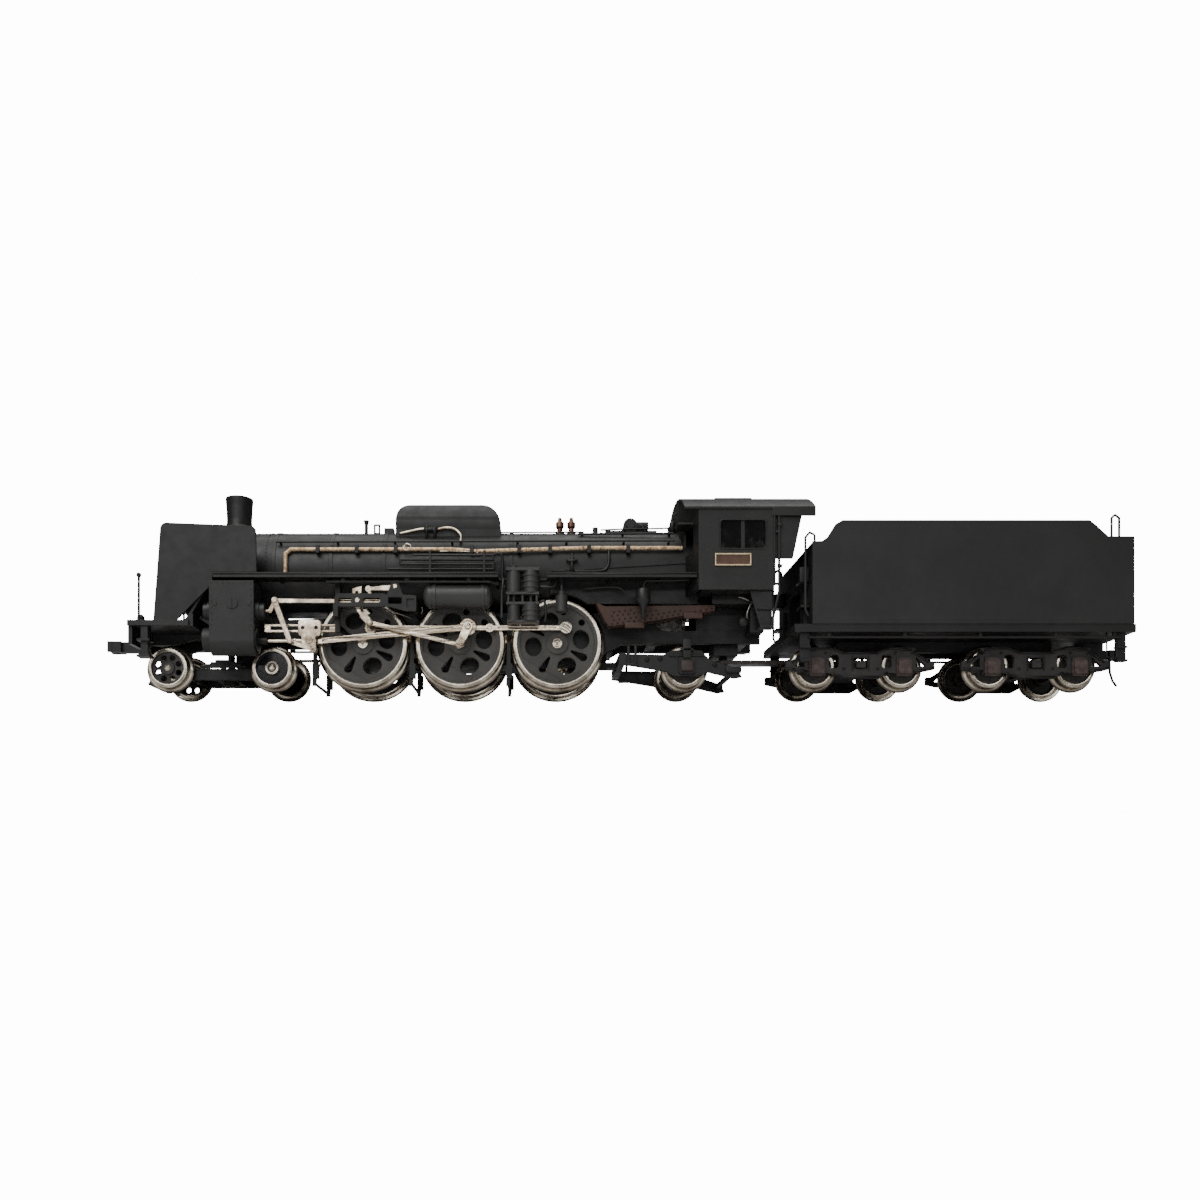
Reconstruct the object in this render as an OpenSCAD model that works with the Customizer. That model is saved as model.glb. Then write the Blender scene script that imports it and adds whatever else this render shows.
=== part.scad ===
// Model steam locomotive with tender: 4-6-2 wheels, outside valve gear, on 16.5 mm gauge wheels.
// X runs along the track with the chimney towards -X, Y across it, Z up from the wheel flanges.

/* [Track] */
// Distance between the backs of two wheels on one axle
back_to_back = 14.5; // [14.2:0.1:14.8]
// Width of a wheel, flange included
wheel_w = 2.9; // [2.6:0.1:3.0]
// Height of the flange over the tread
flange_h = 0.8; // [0.6:0.1:1.0]

/* [Wheels] */
// Tread radius of a driving wheel
driver_r = 10.94; // [10.6:0.02:11.0]
// Distance between two driving axles
driver_pitch = 23.75; // [23.7:0.05:24.5]
// Tread radius of a carrying wheel
small_r = 5.0; // [4.6:0.1:5.2]
// Radius of the circle that the crank pins travel
crank_r = 4.125; // [3.9:0.025:4.2]
// Angle of the left crank at rest, from the rear
left_crank = 60; // [40:5:75]
// Angle that the right crank follows behind the left one
quarter = 90; // [80:5:100]

/* [Boiler] */
// Height of the boiler's axis
boiler_z = 30.7; // [30:0.1:31]
// Outer radius of the boiler
boiler_r = 10.5; // [10:0.1:10.8]
// Wall of the sheet-metal bodies
sheet = 0.6; // [0.4:0.1:0.8]

/* [Cab] */
// Half width of the cab
cab_half_w = 17.5; // [17:0.1:17.8]
// Height of the top of the roof
roof_z = 48.6; // [48:0.1:49.5]
// Height of the roof's side edges
eaves_z = 42.5; // [42:0.1:43]

/* [Tender] */
// Length of the tender's underframe
tender_l = 81.1; // [80.8:0.1:83]
// Half width of the tank
tank_half_w = 17.2; // [16.8:0.1:17.4]
// Height of the top of the tank
tank_top = 39.5; // [39:0.1:40.5]

/* [Hidden] */
$fn = 48;
eps = 0.01;
fit = 0.05;
// Gap left between pressed-together solids of one node, so that each stays a solid of its own
seam = 0.01;

// Places along the train, from the front coupler to the rear one
drive_x = -38.5;
axle_x = [for (i = [-1:1]) drive_x + i * driver_pitch];
driver_z = driver_r + flange_h;
small_z = small_r + flange_h;
wheel_in = back_to_back / 2;
wheel_out = wheel_in + wheel_w;
lead_pivot_x = drive_x - 58.7;
lead_half = 12.75;
trail_x = drive_x + 55;
trail_pivot_x = drive_x + 31;
cyl_x = drive_x - 53.7;
cab_front_x = drive_x + 57.1;
cab_rear_x = drive_x + 74.9;
tender_x = drive_x + 80;
tender_axle_x = [for (d = [6.6, 27.7, 49.1, 70.2]) tender_x + d];
bogie_x = [(tender_axle_x[0] + tender_axle_x[1]) / 2, (tender_axle_x[2] + tender_axle_x[3]) / 2];
loco_pin_x = drive_x + 66;
tender_pin_x = drive_x + 88.5;

// Layers outboard of the wheels, as distances from the centre line
side_rod_y = [10.4, 11.2];
main_rod_y = [11.4, 12.2];
crank_y = [12.35, 12.95];
eccentric_y = [13.05, 13.65];
link_y = [13.8, 14.6];
radius_rod_y = [14.75, 15.3];
bracket_y = [15.45, 16.0];
piston_y = 12.95;
lever_y = [15.4, 15.9];
union_y = [14.1, 14.6];
pin_r = 0.7;

// Valve gear, as points (x, z)
main_rod_l = 38.2;
eccentric_r = 1.0;
eccentric_lag = 153;
trunnion = [drive_x - 24.1, 20.9];
foot_r = 5.5;
foot_rest = -62;
lever_top = [drive_x - 43.9, 20.9];
lever_l = 10.38;
union_l = 5.7;
union_drop = -2.4;
reverse_pin = [drive_x - 15.1, 24.2];
slide_z = driver_z + 3.05;
worm_z = driver_z + 6.9;
roof_r = (pow(cab_half_w, 2) + pow(roof_z - eaves_z, 2)) / (2 * (roof_z - eaves_z));
coupler_pin_r = 0.7;

function crank_angle(side) = side < 0 ? left_crank : left_crank - quarter;
function polar(r, a) = [r * cos(a), r * sin(a)];
function axle(i) = [axle_x[i], driver_z];
function crank_pin(i, side) = axle(i) + polar(crank_r, crank_angle(side));
function eccentric_pin(side) = axle(1) + polar(eccentric_r, crank_angle(side) - eccentric_lag);
function crosshead_pin(side) = let (p = crank_pin(1, side), drop = p[1] - driver_z)
    [p[0] - sqrt(main_rod_l * main_rod_l - drop * drop), driver_z];
// The point at distance ra from a and rb from b, below the line from a to b
function meet(a, ra, b, rb) = let (d = norm(b - a), along = (d * d + ra * ra - rb * rb) / (2 * d),
    off = sqrt(ra * ra - along * along), u = (b - a) / d) a + u * along + [u[1], -u[0]] * off;
eccentric_rod_l = norm(trunnion + polar(foot_r, foot_rest) - eccentric_pin(-1));
function link_foot(side) = meet(trunnion, foot_r, eccentric_pin(side), eccentric_rod_l);
function union_end(side) = crosshead_pin(side) + [1.1, union_drop];
function lever_foot(side) = meet(lever_top, lever_l, union_end(side), union_l);

black = [0.17, 0.17, 0.17];
nickel = [0.80, 0.76, 0.68];
copper = [0.80, 0.62, 0.42];
rust = [0.28, 0.18, 0.14];

// ---- helpers -------------------------------------------------------------------------------

// Children, and their mirror image on the other side of the track
module both_sides() {
    children();
    mirror([0, 1, 0]) children();
}

// Children drawn for the left side, on the side given: -1 left, 1 right
module on_side(side) {
    if (side < 0) children();
    else mirror([0, 1, 0]) children();
}

// An outline in (x, z) as a plate on the left, from y[0] to y[1] outboard of the centre line
module plate(y) {
    translate([0, -y[0], 0]) rotate([90, 0, 0]) linear_extrude(y[1] - y[0]) children();
}

// An outline in (y, z) drawn out along X from x0 to x1
module along_x(x0, x1) {
    translate([x0, 0, 0]) rotate([90, 0, 90]) linear_extrude(x1 - x0) children();
}

// A round pin across the left side at p, an (x, z) point
module pin(p, r, y) {
    translate([p[0], -y[0], p[1]]) rotate([90, 0, 0]) cylinder(r = r, h = y[1] - y[0]);
}

// A straight round wire between two points
module wire(a, b, r) {
    d = b - a;
    l = norm(d);
    translate(a) rotate([0, acos(d[2] / l), atan2(d[1], d[0])]) cylinder(r = r, h = l, $fn = 16);
}

// A wire through a list of points, with a ball a little thicker than the wire at each bend
module bent_wire(points, r) {
    for (i = [0:len(points) - 2]) wire(points[i], points[i + 1], r);
    for (i = [1:len(points) - 2]) translate(points[i]) sphere(r = r * 1.08, $fn = 16);
}

// A 2D bar from a to b with round ends
module bar(a, b, ra, rb) {
    hull() {
        translate(a) circle(r = ra, $fn = 24);
        translate(b) circle(r = rb, $fn = 24);
    }
}

// A rounded rectangle in 2D from corner a to corner b
module soft_box(a, b, r) {
    hull() for (x = [a[0] + r, b[0] - r], z = [a[1] + r, b[1] - r])
        translate([x, z]) circle(r = r, $fn = 20);
}

// ---- wheels --------------------------------------------------------------------------------

// Profile of a tyre in (radius, distance from the centre line)
module tyre_outline(tread, inner) {
    f = tread + flange_h;
    polygon([[inner, wheel_in], [f - 0.25, wheel_in], [f, wheel_in + 0.25], [f, wheel_in + 0.5],
        [tread + 0.05, wheel_in + 0.95], [tread, wheel_in + 1.1], [tread - 0.1, wheel_out - 0.15],
        [tread - 0.25, wheel_out], [inner, wheel_out]]);
}

// Children turned about an axle at x, z; their profile is in (radius, y)
module on_axle(x, z) {
    translate([x, 0, z]) rotate([90, 0, 0]) rotate_extrude($fn = 96) children();
}

// The four big holes, the drop-shaped slots and the two small holes of a disc wheel, in 2D
module driver_holes(a) {
    for (t = [-127, -50, 50, 127]) rotate(a + t) translate([5.9, 0]) scale([0.86, 1]) circle(r = 2.35);
    for (t = [-88, 88, 180]) rotate(a + t) hull() {
        translate([7.2, 0]) circle(r = 0.95, $fn = 20);
        translate([4.0, 0]) circle(r = 0.3, $fn = 20);
    }
    for (t = [-19, 19]) rotate(a + t) translate([7.9, 0]) circle(r = 0.8, $fn = 20);
}

module driver_centre(a, weight) {
    rim = driver_r - 1.15;
    face = wheel_out - 0.35;
    difference() {
        union() {
            plate([wheel_in + 0.5, face]) circle(r = rim, $fn = 96);
            plate([face - eps, wheel_out]) difference() {
                circle(r = rim, $fn = 96);
                circle(r = rim - 0.7, $fn = 96);
            }
            pin([0, 0], 2.6, [wheel_in + 0.3, wheel_out]);
            pin(polar(crank_r, a), 1.7, [wheel_in + 1, wheel_out + 0.15]);
            if (weight > 0) plate([face - eps, wheel_out + 0.05]) intersection() {
                circle(r = rim - 0.5, $fn = 96);
                rotate(a + 180) translate([weight, -10]) square([10, 20]);
            }
        }
        plate([wheel_in, wheel_out + 1]) driver_holes(a);
        pin([0, 0], 1.5 + seam, [wheel_in - 1, wheel_out + 1]);
        pin(polar(crank_r, a), pin_r + seam, [wheel_in - 1, wheel_out + 1]);
    }
}

// One driving axle: two wheel centres, two tyres, the axle and two crank pins, all separate solids
module driver_wheels(i, weight, pin_end, head_r) {
    color(black) for (side = [-1, 1]) on_side(side)
        translate([axle_x[i], 0, driver_z]) driver_centre(crank_angle(side), weight);
    color(nickel) for (side = [-1, 1]) on_axle(axle_x[i], driver_z)
        scale([1, side]) tyre_outline(driver_r, driver_r - 1.15 + seam);
    color(nickel) difference() {
        translate([axle_x[i], wheel_out + 0.1, driver_z]) rotate([90, 0, 0])
            cylinder(r = 1.5, h = 2 * wheel_out + 0.2);
        for (side = [-1, 1]) on_side(side)
            pin(axle(i), 0.35, [wheel_out - 0.3, wheel_out + 1]);
    }
    color(nickel) for (side = [-1, 1]) on_side(side) {
        difference() {
            union() {
                pin(crank_pin(i, side), pin_r, [wheel_in + 0.5, pin_end]);
                if (head_r > 0) pin(crank_pin(i, side), head_r, [pin_end - 0.4, pin_end]);
            }
            if (head_r > 0) translate([crank_pin(i, side)[0], -pin_end, crank_pin(i, side)[1]])
                rotate([0, 40, 0]) cube([2 * head_r + 1, 0.4, 0.3], center = true);
        }
    }
}

// A carrying wheelset in one piece: axle ends, hubs, webs and tyres
module wheelset(x, web_y, axle_end) {
    difference() {
        on_axle(x, small_z) for (side = [-1, 1]) scale([1, side]) {
            tyre_outline(small_r, small_r - 1.05);
            polygon([[0, 0], [0.8, 0], [0.8, wheel_in], [1.5, wheel_in],
                [1.5, web_y - 0.9], [small_r - 1, web_y - 0.9], [small_r - 1, web_y],
                [1.6, web_y], [1.6, wheel_out], [0.75, wheel_out], [0.75, axle_end - 0.3],
                [0.45, axle_end], [0, axle_end]]);
        }
        children();
    }
}

// Eight round holes through both wheels of a carrying axle
module eight_holes(x) {
    for (k = [0:7]) translate([x, 0, small_z]) rotate([0, 22.5 + 45 * k, 0]) translate([2.75, 0, 0])
        rotate([90, 0, 0]) cylinder(r = 0.72, h = 30, center = true, $fn = 20);
}

module leading_wheels_1() color(nickel) wheelset(lead_pivot_x - lead_half, wheel_out - 0.6, 10.4)
    eight_holes(lead_pivot_x - lead_half);
module leading_wheels_2() color(nickel) wheelset(lead_pivot_x + lead_half, wheel_out - 1.0, 10.4);
module trailing_wheels() color(nickel) wheelset(trail_x, wheel_out - 0.7, 12.6);
module tender_wheels(i) color(nickel) wheelset(tender_axle_x[i], wheel_out - 0.7, 11.3);

// ---- rods and valve gear -------------------------------------------------------------------

module return_cranks() color(nickel) for (side = [-1, 1]) on_side(side) {
    p = crank_pin(1, side);
    e = eccentric_pin(side);
    difference() {
        plate(crank_y) bar(p, e, 1.15, 0.8);
        pin(p, pin_r, [12, 13.2]);
        pin(e, 0.4, [12, 13.2]);
    }
    difference() {
        union() {
            pin(e, 0.4, [crank_y[0], 13.7]);
            pin(e, 0.7, [13.7, 13.95]);
        }
        translate([e[0], -13.95, e[1]]) rotate([0, 30, 0]) cube([2, 0.25, 0.2], center = true);
    }
}

module side_rod(side) color(nickel) on_side(side) {
    p = [for (i = [0:2]) crank_pin(i, side)];
    knuckle = p[1] + [5.2, 0];
    difference() {
        union() {
            plate(side_rod_y) for (i = [0:1]) bar(p[i], p[i + 1], 0.55, 0.55);
            for (i = [0:2]) pin(p[i], 1.4, side_rod_y);
            pin(knuckle, 1.05, side_rod_y);
            pin(knuckle, 0.5, [side_rod_y[1] - eps, side_rod_y[1] + 0.12]);
        }
        for (i = [0:2]) pin(p[i], pin_r + fit, [10, 13]);
        for (s = [[p[0] + [3, 0], p[1] - [3, 0]], [knuckle + [2.2, 0], p[2] - [2.6, 0]]])
            plate([side_rod_y[1] - 0.25, side_rod_y[1] + 1]) bar(s[0], s[1], 0.24, 0.24);
    }
}

module main_rod(side) color(nickel) on_side(side) {
    p = crank_pin(1, side);
    c = crosshead_pin(side);
    u = (p - c) / main_rod_l;
    difference() {
        union() {
            plate(main_rod_y) bar(c, p, 0.68, 0.78);
            pin(p, 2.0, main_rod_y);
            pin(c, 1.0, main_rod_y);
        }
        pin(p, pin_r + fit, [11, 13]);
        pin(c, 0.45, [11, 13]);
        plate([main_rod_y[1] - 0.25, main_rod_y[1] + 1]) bar(c + u * 3, p - u * 4, 0.33, 0.4);
    }
}

module eccentric_rod(side) color(nickel) on_side(side) {
    e = eccentric_pin(side);
    f = link_foot(side);
    difference() {
        union() {
            plate(eccentric_y) bar(f, e, 0.55, 0.45);
            pin(e, 0.85, eccentric_y);
            pin(f, 0.8, eccentric_y);
        }
        pin(e, 0.4 + fit, [13, 14]);
        pin(f, 0.35, [13, 14]);
    }
}

// Crosshead with its slipper, drop arm, union link, piston rod and piston
module crosshead(side) color(nickel) on_side(side) {
    c = crosshead_pin(side);
    up = 3.05;
    difference() {
        plate([13.35, 13.9]) union() {
            translate(c) soft_box([-2.7, 1.0], [2.7, 4.9], 0.8);
            translate(c) bar([-0.2, 1.2], [-0.2, -0.4], 1.7, 1.7);
            bar(c, union_end(side), 1.2, 0.75);
        }
        for (dx = [-1.6, 1.6]) pin(c + [dx, up], 0.42, [13, 14]);
        pin(c, 0.45, [13, 14]);
    }
    plate([12.4, 13.35]) {
        translate(c + [-2.6, up + 1.05]) square([5.2, 0.6]);
        translate(c + [-2.6, up - 1.65]) square([5.2, 0.6]);
        translate(c) bar([-0.2, 0.7], [-0.2, -0.6], 1.2, 1.2);
    }
    pin(c, 0.8, [13.9, 14.05]);
    translate([c[0] - 1.2, -piston_y, driver_z]) rotate([0, -90, 0]) cylinder(r = 0.38, h = 14.6);
    translate([c[0] - 1.2, -piston_y, driver_z]) rotate([0, -90, 0]) cylinder(r = 0.62, h = 2.6);
    translate([c[0] - 3.4, -piston_y, driver_z]) rotate([0, -90, 0]) cylinder(r = 0.8, h = 0.45);
    translate([c[0] - 15.2, -piston_y, driver_z]) rotate([0, -90, 0]) cylinder(r = 1.3, h = 1.2);
    plate(union_y) bar(union_end(side), lever_foot(side), 0.45, 0.45);
    pin(union_end(side), 0.7, [13.9, 14.7]);
}

module expansion_link(side) color(nickel) on_side(side) {
    f = link_foot(side);
    a = atan2(f[1] - trunnion[1], f[0] - trunnion[0]) + 90;
    difference() {
        plate(link_y) union() {
            translate(trunnion) rotate(a - 12) difference() {
                translate([9, 0]) intersection() {
                    difference() {
                        circle(r = 10.1, $fn = 96);
                        circle(r = 7.9, $fn = 96);
                    }
                    translate([-11, -3.6]) square([4, 7]);
                }
                translate([9, 0]) intersection() {
                    difference() {
                        circle(r = 9.3, $fn = 96);
                        circle(r = 8.7, $fn = 96);
                    }
                    translate([-11, -2.7]) square([4, 5.2]);
                }
            }
            bar(trunnion + polar(3.6, a - 90 - 8), f, 0.9, 0.75);
        }
        pin(f, 0.35 + seam, [13, 15]);
    }
    pin(trunnion, 0.55, [link_y[1] - eps, bracket_y[1] + 0.1]);
    pin(f, 0.35, link_y);
    pin(f, 0.55, [link_y[1] - eps, link_y[1] + 0.2]);
}

module combination_lever(side) color(nickel) on_side(side) {
    b = lever_foot(side);
    difference() {
        plate(lever_y) bar(lever_top, b, 0.65, 0.6);
        pin(lever_top, 0.4 + fit, [15, 17]);
    }
    pin(b, 0.55, [union_y[1] + 0.1, lever_y[1] + 0.15]);
}

// Radius rod with its eye round the link's trunnion, and the valve spindle it drives
module radius_rod(side) color(nickel) on_side(side) {
    front = lever_top;
    spindle = [front[0] - 1.2, front[1] - 2.4];
    difference() {
        plate(radius_rod_y) {
            bar(front, trunnion + [6.6, -0.1], 0.5, 0.4);
            translate(trunnion) circle(r = 1.75);
            bar(front, spindle, 0.5, 0.5);
        }
        plate([14, 16]) bar(trunnion - [4.6, 0], trunnion + [5, 0], 0.12, 0.12);
        pin(trunnion, 1.15, [14, 16]);
    }
    pin(front, 0.85, radius_rod_y);
    pin(front, 0.4, [radius_rod_y[1] - eps, lever_y[1] + 0.2]);
    pin(front, 0.65, [lever_y[1] + 0.1, lever_y[1] + 0.3]);
    translate([spindle[0], -15, spindle[1]]) rotate([0, -90, 0]) cylinder(r = 0.4, h = 5);
}

// Stub shafts in the brackets, each with its arm and a lifting link
module reversing_arm() color(nickel) both_sides() {
    tip = reverse_pin + [-6.5, -0.4];
    plate([14.66, 15.1]) {
        bar(reverse_pin, tip, 0.75, 0.4);
        bar(tip, tip + [0.5, -1.5], 0.42, 0.42);
    }
    pin(tip, 0.75, [14.66, 15.16]);
    pin(reverse_pin, 0.5, [14.66, bracket_y[1] + 0.1]);
    pin(reverse_pin, 1.0, [14.4, 15.2]);
}

module slide_bars() color(nickel) both_sides() plate([12.5, 13.25]) {
    x0 = cyl_x + 6.8;
    l = 17.0;
    for (dz = [-0.95, 0.45]) translate([x0, slide_z + dz]) square([l, 0.5]);
    for (x = [x0, x0 + l - 1.4]) translate([x, slide_z - 0.95]) square([1.4, 1.9]);
}

// Yoke plates, expansion link brackets and reversing shaft brackets of both sides
module motion_brackets() color(black) both_sides() {
    x = drive_x;
    difference() {
        union() {
            plate(bracket_y) {
                soft_box([x - 29.6, 19.3], [x - 16.6, 22.5], 1.4);
                polygon([[x - 17.8, 19.6], [x - 17, 22.3], [x - 15.9, 25.1], [x - 14.3, 25.1],
                    [x - 13.2, 22.2], [x - 10.2, 22.0], [x - 10.2, 18.2], [x - 12.3, 18.2]]);
            }
            plate([13.2, 16]) difference() {
                translate([x - 29.9, 17]) square([1.2, 4.6]);
                translate([x - 31, 19.9]) square([3, 2]);
            }
            plate([10.5, 13.25]) translate([x - 29.9, 19.4]) square([1.2, 7.4]);
            plate([12.5, 13.25]) translate([x - 29.9, 13.8]) square([1.2, 6]);
            plate([6.4, 16]) translate([x - 10.8, 18.4]) square([0.8, 3.4]);
        }
        pin(trunnion, 0.55 + fit, [14, 17]);
        pin(reverse_pin, 0.5 + fit, [14, 17]);
        plate([15, 17]) for (d = [[-28.6, -25.4], [-22.8, -18.6]])
            soft_box([x + d[0], 20.3], [x + d[1], 21.4], 0.5);
        plate([15, 17]) {
            translate([x - 16.7, 20.0]) square([3.2, 1.6]);
            translate([x - 12.3, 19.1]) square([1.7, 2.1]);
        }
    }
    plate([15.5, 15.7]) translate([x - 12.3, 19.1]) square([1.7, 2.1]);
}

// ---- chassis -------------------------------------------------------------------------------

module main_frame() color(black) {
    x = drive_x;
    h = 6.4;
    both_sides() plate([h - 1.4, h]) difference() {
        polygon([[x - 77.7, 12], [x - 77.7, 14.7], [x - 63.2, 14.7], [x - 62, 17.9], [x - 34, 18.6],
            [x - 30, 20], [x + 44, 20], [x + 50, 15.6], [x + 74, 15.6], [x + 74, 12.4], [x + 40, 12.4],
            [x + 33, 8.4], [x - 33, 8.4], [x - 38, 13.4], [x - 66, 13.4], [x - 72, 12]]);
        for (i = [0:2]) translate([axle_x[i] - 1.9, 7]) square([3.8, driver_z - 7 + 1.9]);
    }
    for (d = [-75, -36, -11.9, 11.9, 47.5, 70])
        translate([x + d - 1.2, -h + 1.4, 12.6]) cube([2.4, 2 * h - 2.8, d == 47.5 ? 1.0 : 2.0]);
    color(copper) for (i = [0:2]) both_sides() difference() {
        plate([h - 1.7, h + 0.3]) translate([axle_x[i] - 1.9, driver_z - 2.6]) square([3.8, 4.5]);
        pin(axle(i), 1.5 + fit, [4, 8]);
    }
    both_sides() plate([4.6, 6.3]) translate([x + 58.2, 15.5]) square([15.6, 7.4]);
    translate([loco_pin_x - 3, -6.4, 12.4]) cube([6, 12.8, 1]);
    translate([loco_pin_x - 3, -4, 9.9]) cube([6, 8, 2.6]);
    translate([loco_pin_x, 0, 7.4]) cylinder(r = 1, h = 2.5 + eps);
    translate([loco_pin_x, 0, 7.2]) cylinder(r = 1.6, h = 0.5);
    translate([lead_pivot_x - 2.5, -5, 12.2]) cube([5, 10, 1.4]);
    translate([lead_pivot_x, 0, 4.2]) cylinder(r = 0.9, h = 8 + eps);
    translate([trail_pivot_x + 2.4, -5.2, 10.4]) cube([4.2, 10.4, 2.2]);
    translate([trail_pivot_x + 4.5, 0, 7.0]) cylinder(r = 0.9, h = 3.4 + eps);
}

// Bottom cover with its screws, and the brake hangers with their shoes
module keeper_plate() color(black) {
    x0 = axle_x[0] - 7;
    l = 2 * driver_pitch + 14;
    screws = [3, l / 2 - driver_pitch / 2, l - 1.1];
    difference() {
        translate([x0, -6.2, 7.1]) cube([l, 12.4, 1.3]);
        for (d = screws) translate([x0 + d, 0, 7]) cylinder(r = 0.8 + seam, h = 3);
        translate([axle_x[2] - 4.7, -2.4, 7]) cube([9.4, 4.8, 2]);
    }
    color(nickel) for (d = screws) difference() {
        translate([x0 + d, 0, 6.8]) cylinder(r = 0.8, h = 1.6);
        translate([x0 + d, 0, 6.8]) cube([2, 0.3, 0.5], center = true);
    }
    for (i = [0:2]) both_sides() {
        xb = axle_x[i] - driver_pitch / 2;
        plate([8.2, 8.9]) polygon([[xb - 0.5, 12.4], [xb + 0.4, 12.4], [xb + 0.5, 5], [xb + 0.2, 1.6],
            [xb - 0.7, 1.6], [xb - 0.6, 5]]);
        plate([7.9, 9.2]) difference() {
            translate([xb - 0.6, 3.4]) square([1.5, 3.6]);
            translate(axle(i)) circle(r = driver_r + flange_h + 0.2, $fn = 96);
        }
        translate([xb - 0.4, -8.3, 7.4]) cube([0.8, 2.2, 0.9]);
        translate([xb - 0.4, -8.5, 1.9]) cube([0.5, 8.5 + eps, 0.6]);
    }
}

// Cross-section of the left cylinder block in (y, z), with its half of the saddle
module cylinder_section() {
    hull() {
        translate([-14.5, driver_z - 0.9]) circle(r = 3.0, $fn = 40);
        translate([-17.5, 14]) square([3, 11.2]);
        translate([-12.2, 9.2]) square([1, 8]);
        translate([-11.8, 24]) square([1, 1.2]);
    }
    translate([-13, 18.6]) square([13 + eps, 2.2]);
}

module cylinder_block() color(black) both_sides() {
    half = 5.3;
    difference() {
        union() {
            along_x(cyl_x - half, cyl_x + half) cylinder_section();
            translate([cyl_x - half - 1.9, -14.3, 18.6]) rotate([0, 90, 0])
                cylinder(r = 2.0, h = 2 * half + 4);
            translate([cyl_x - half - 0.9, -14.2, 18.6]) rotate([0, 90, 0])
                cylinder(r = 2.4, h = 2 * half + 1.8);
            intersection() {
                translate([cyl_x - half - 1.9, -14.2, driver_z]) rotate([0, 90, 0])
                    cylinder(r = 2.9, h = 2 * half + 2.2);
                translate([cyl_x - 10, -18, 0]) cube([20, 6.7, 20]);
            }
            translate([cyl_x + half, -piston_y, driver_z]) rotate([0, 90, 0]) cylinder(r = 0.9, h = 2.2);
            pin([cyl_x + 0.2, 19.8], 1.35, [17.4, 17.7]);
            for (dx = [-4, 4.2]) pin([cyl_x + dx, 19.8], 0.55, [17.4, 17.65]);
        }
        translate([cyl_x - half, -piston_y, driver_z]) rotate([0, 90, 0]) cylinder(r = 1.45, h = 9.9);
        translate([cyl_x, -piston_y, driver_z]) rotate([0, 90, 0]) cylinder(r = 0.38 + fit, h = 12);
        translate([cyl_x, -15, lever_top[1] - 2.4]) rotate([0, 90, 0]) cylinder(r = 0.4 + fit, h = 12);
        translate([cyl_x + 0.2, -17.8, 19.8]) cube([0.3, 0.4, 3], center = true);
    }
}

// ---- boiler --------------------------------------------------------------------------------

// The boiler's round barrel as a solid along the whole engine, grown by the amount given
module barrel(grow) {
    translate([drive_x - 69, 0, boiler_z]) rotate([0, 90, 0])
        cylinder(r = boiler_r + grow, h = 130, $fn = 96);
}

// Cross-section of the firebox casing, straight-sided below its round top, in (y, z)
module firebox_section(grow, floor_z) {
    translate([0, boiler_z]) circle(r = boiler_r + grow, $fn = 96);
    translate([-boiler_r - grow, floor_z]) square([2 * (boiler_r + grow), boiler_z - floor_z]);
}

module boiler_shell() color(black) {
    x = drive_x;
    wall = 2 * sheet;
    difference() {
        union() {
            translate([x - 69, 0, boiler_z]) rotate([0, 90, 0]) cylinder(r = boiler_r, h = 92, $fn = 96);
            for (d = [-46, -32, -19, 12]) translate([x + d, 0, boiler_z]) rotate([0, 90, 0])
                cylinder(r = boiler_r + 0.15, h = 0.9, $fn = 96);
            along_x(x + 22, x + 58) firebox_section(0, 21.3);
            translate([cyl_x - 5.3, -5.8, 20.8]) cube([10.6, 11.6, 3]);
        }
        translate([x - 70, 0, boiler_z]) rotate([0, 90, 0]) cylinder(r = boiler_r - wall, h = 130, $fn = 96);
        along_x(x + 24, x + 60) firebox_section(-wall, 18);
        translate([cyl_x - 20, -20, 0]) cube([160, 40, 20.8]);
        both_sides() for (i = [0:2]) pin(axle(i), driver_r + flange_h + 0.4,
            [wheel_in - 0.3, wheel_out + 0.5]);
    }
}

module smokebox_front() color(black) {
    x = drive_x - 69;
    translate([x, 0, boiler_z]) rotate([0, -90, 0])
        cylinder(r1 = boiler_r, r2 = boiler_r - 0.5, h = 0.9, $fn = 96);
    translate([x, 0, boiler_z]) rotate([0, 90, 0]) cylinder(r = boiler_r - 2 * sheet - fit, h = 3);
    difference() {
        translate([x + 13.2, 0, boiler_z - 0.8]) sphere(r = 16.8, $fn = 96);
        translate([x - 0.9, -20, 0]) cube([50, 40, 60]);
    }
    for (dz = [-2.6, 2.6]) translate([x - 2.6, 1.2, boiler_z + dz - 0.35]) cube([1.8, 7, 0.7]);
    translate([x - 2.4, 0, boiler_z - 0.8]) rotate([0, -90, 0]) cylinder(r = 0.8, h = 1.7);
    headlamp(x + 3.2);
}

module headlamp(x) {
    z = boiler_z + boiler_r + 1.35;
    translate([x, 0, z]) rotate([0, -90, 0]) cylinder(r = 1.5, h = 2.6);
    translate([x, 0, z]) rotate([0, 90, 0]) cylinder(r1 = 1.5, r2 = 0.9, h = 1);
    color(nickel) translate([x - 2.6, 0, z]) rotate([0, -90, 0]) cylinder(r = 1.25, h = 0.25);
    difference() {
        translate([x - 2, -1, boiler_z + boiler_r - 0.4]) cube([2.2, 2, 1.2]);
        barrel(0);
    }
}

module chimney() color(black) translate([drive_x - 56.7, 0, boiler_z]) difference() {
    rotate_extrude($fn = 64) polygon([[0, 9.0], [5.0, 9.0], [4.7, 10.4], [3.8, 11.3], [3.2, 12.4],
        [3.1, 14], [3.25, 17.4], [3.4, 19], [3.4, 19.6], [0, 19.6]]);
    translate([0, 0, 11]) cylinder(r = 2.5, h = 9);
    rotate([0, 90, 0]) translate([0, 0, -10]) cylinder(r = boiler_r, h = 20, $fn = 96);
}

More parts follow.
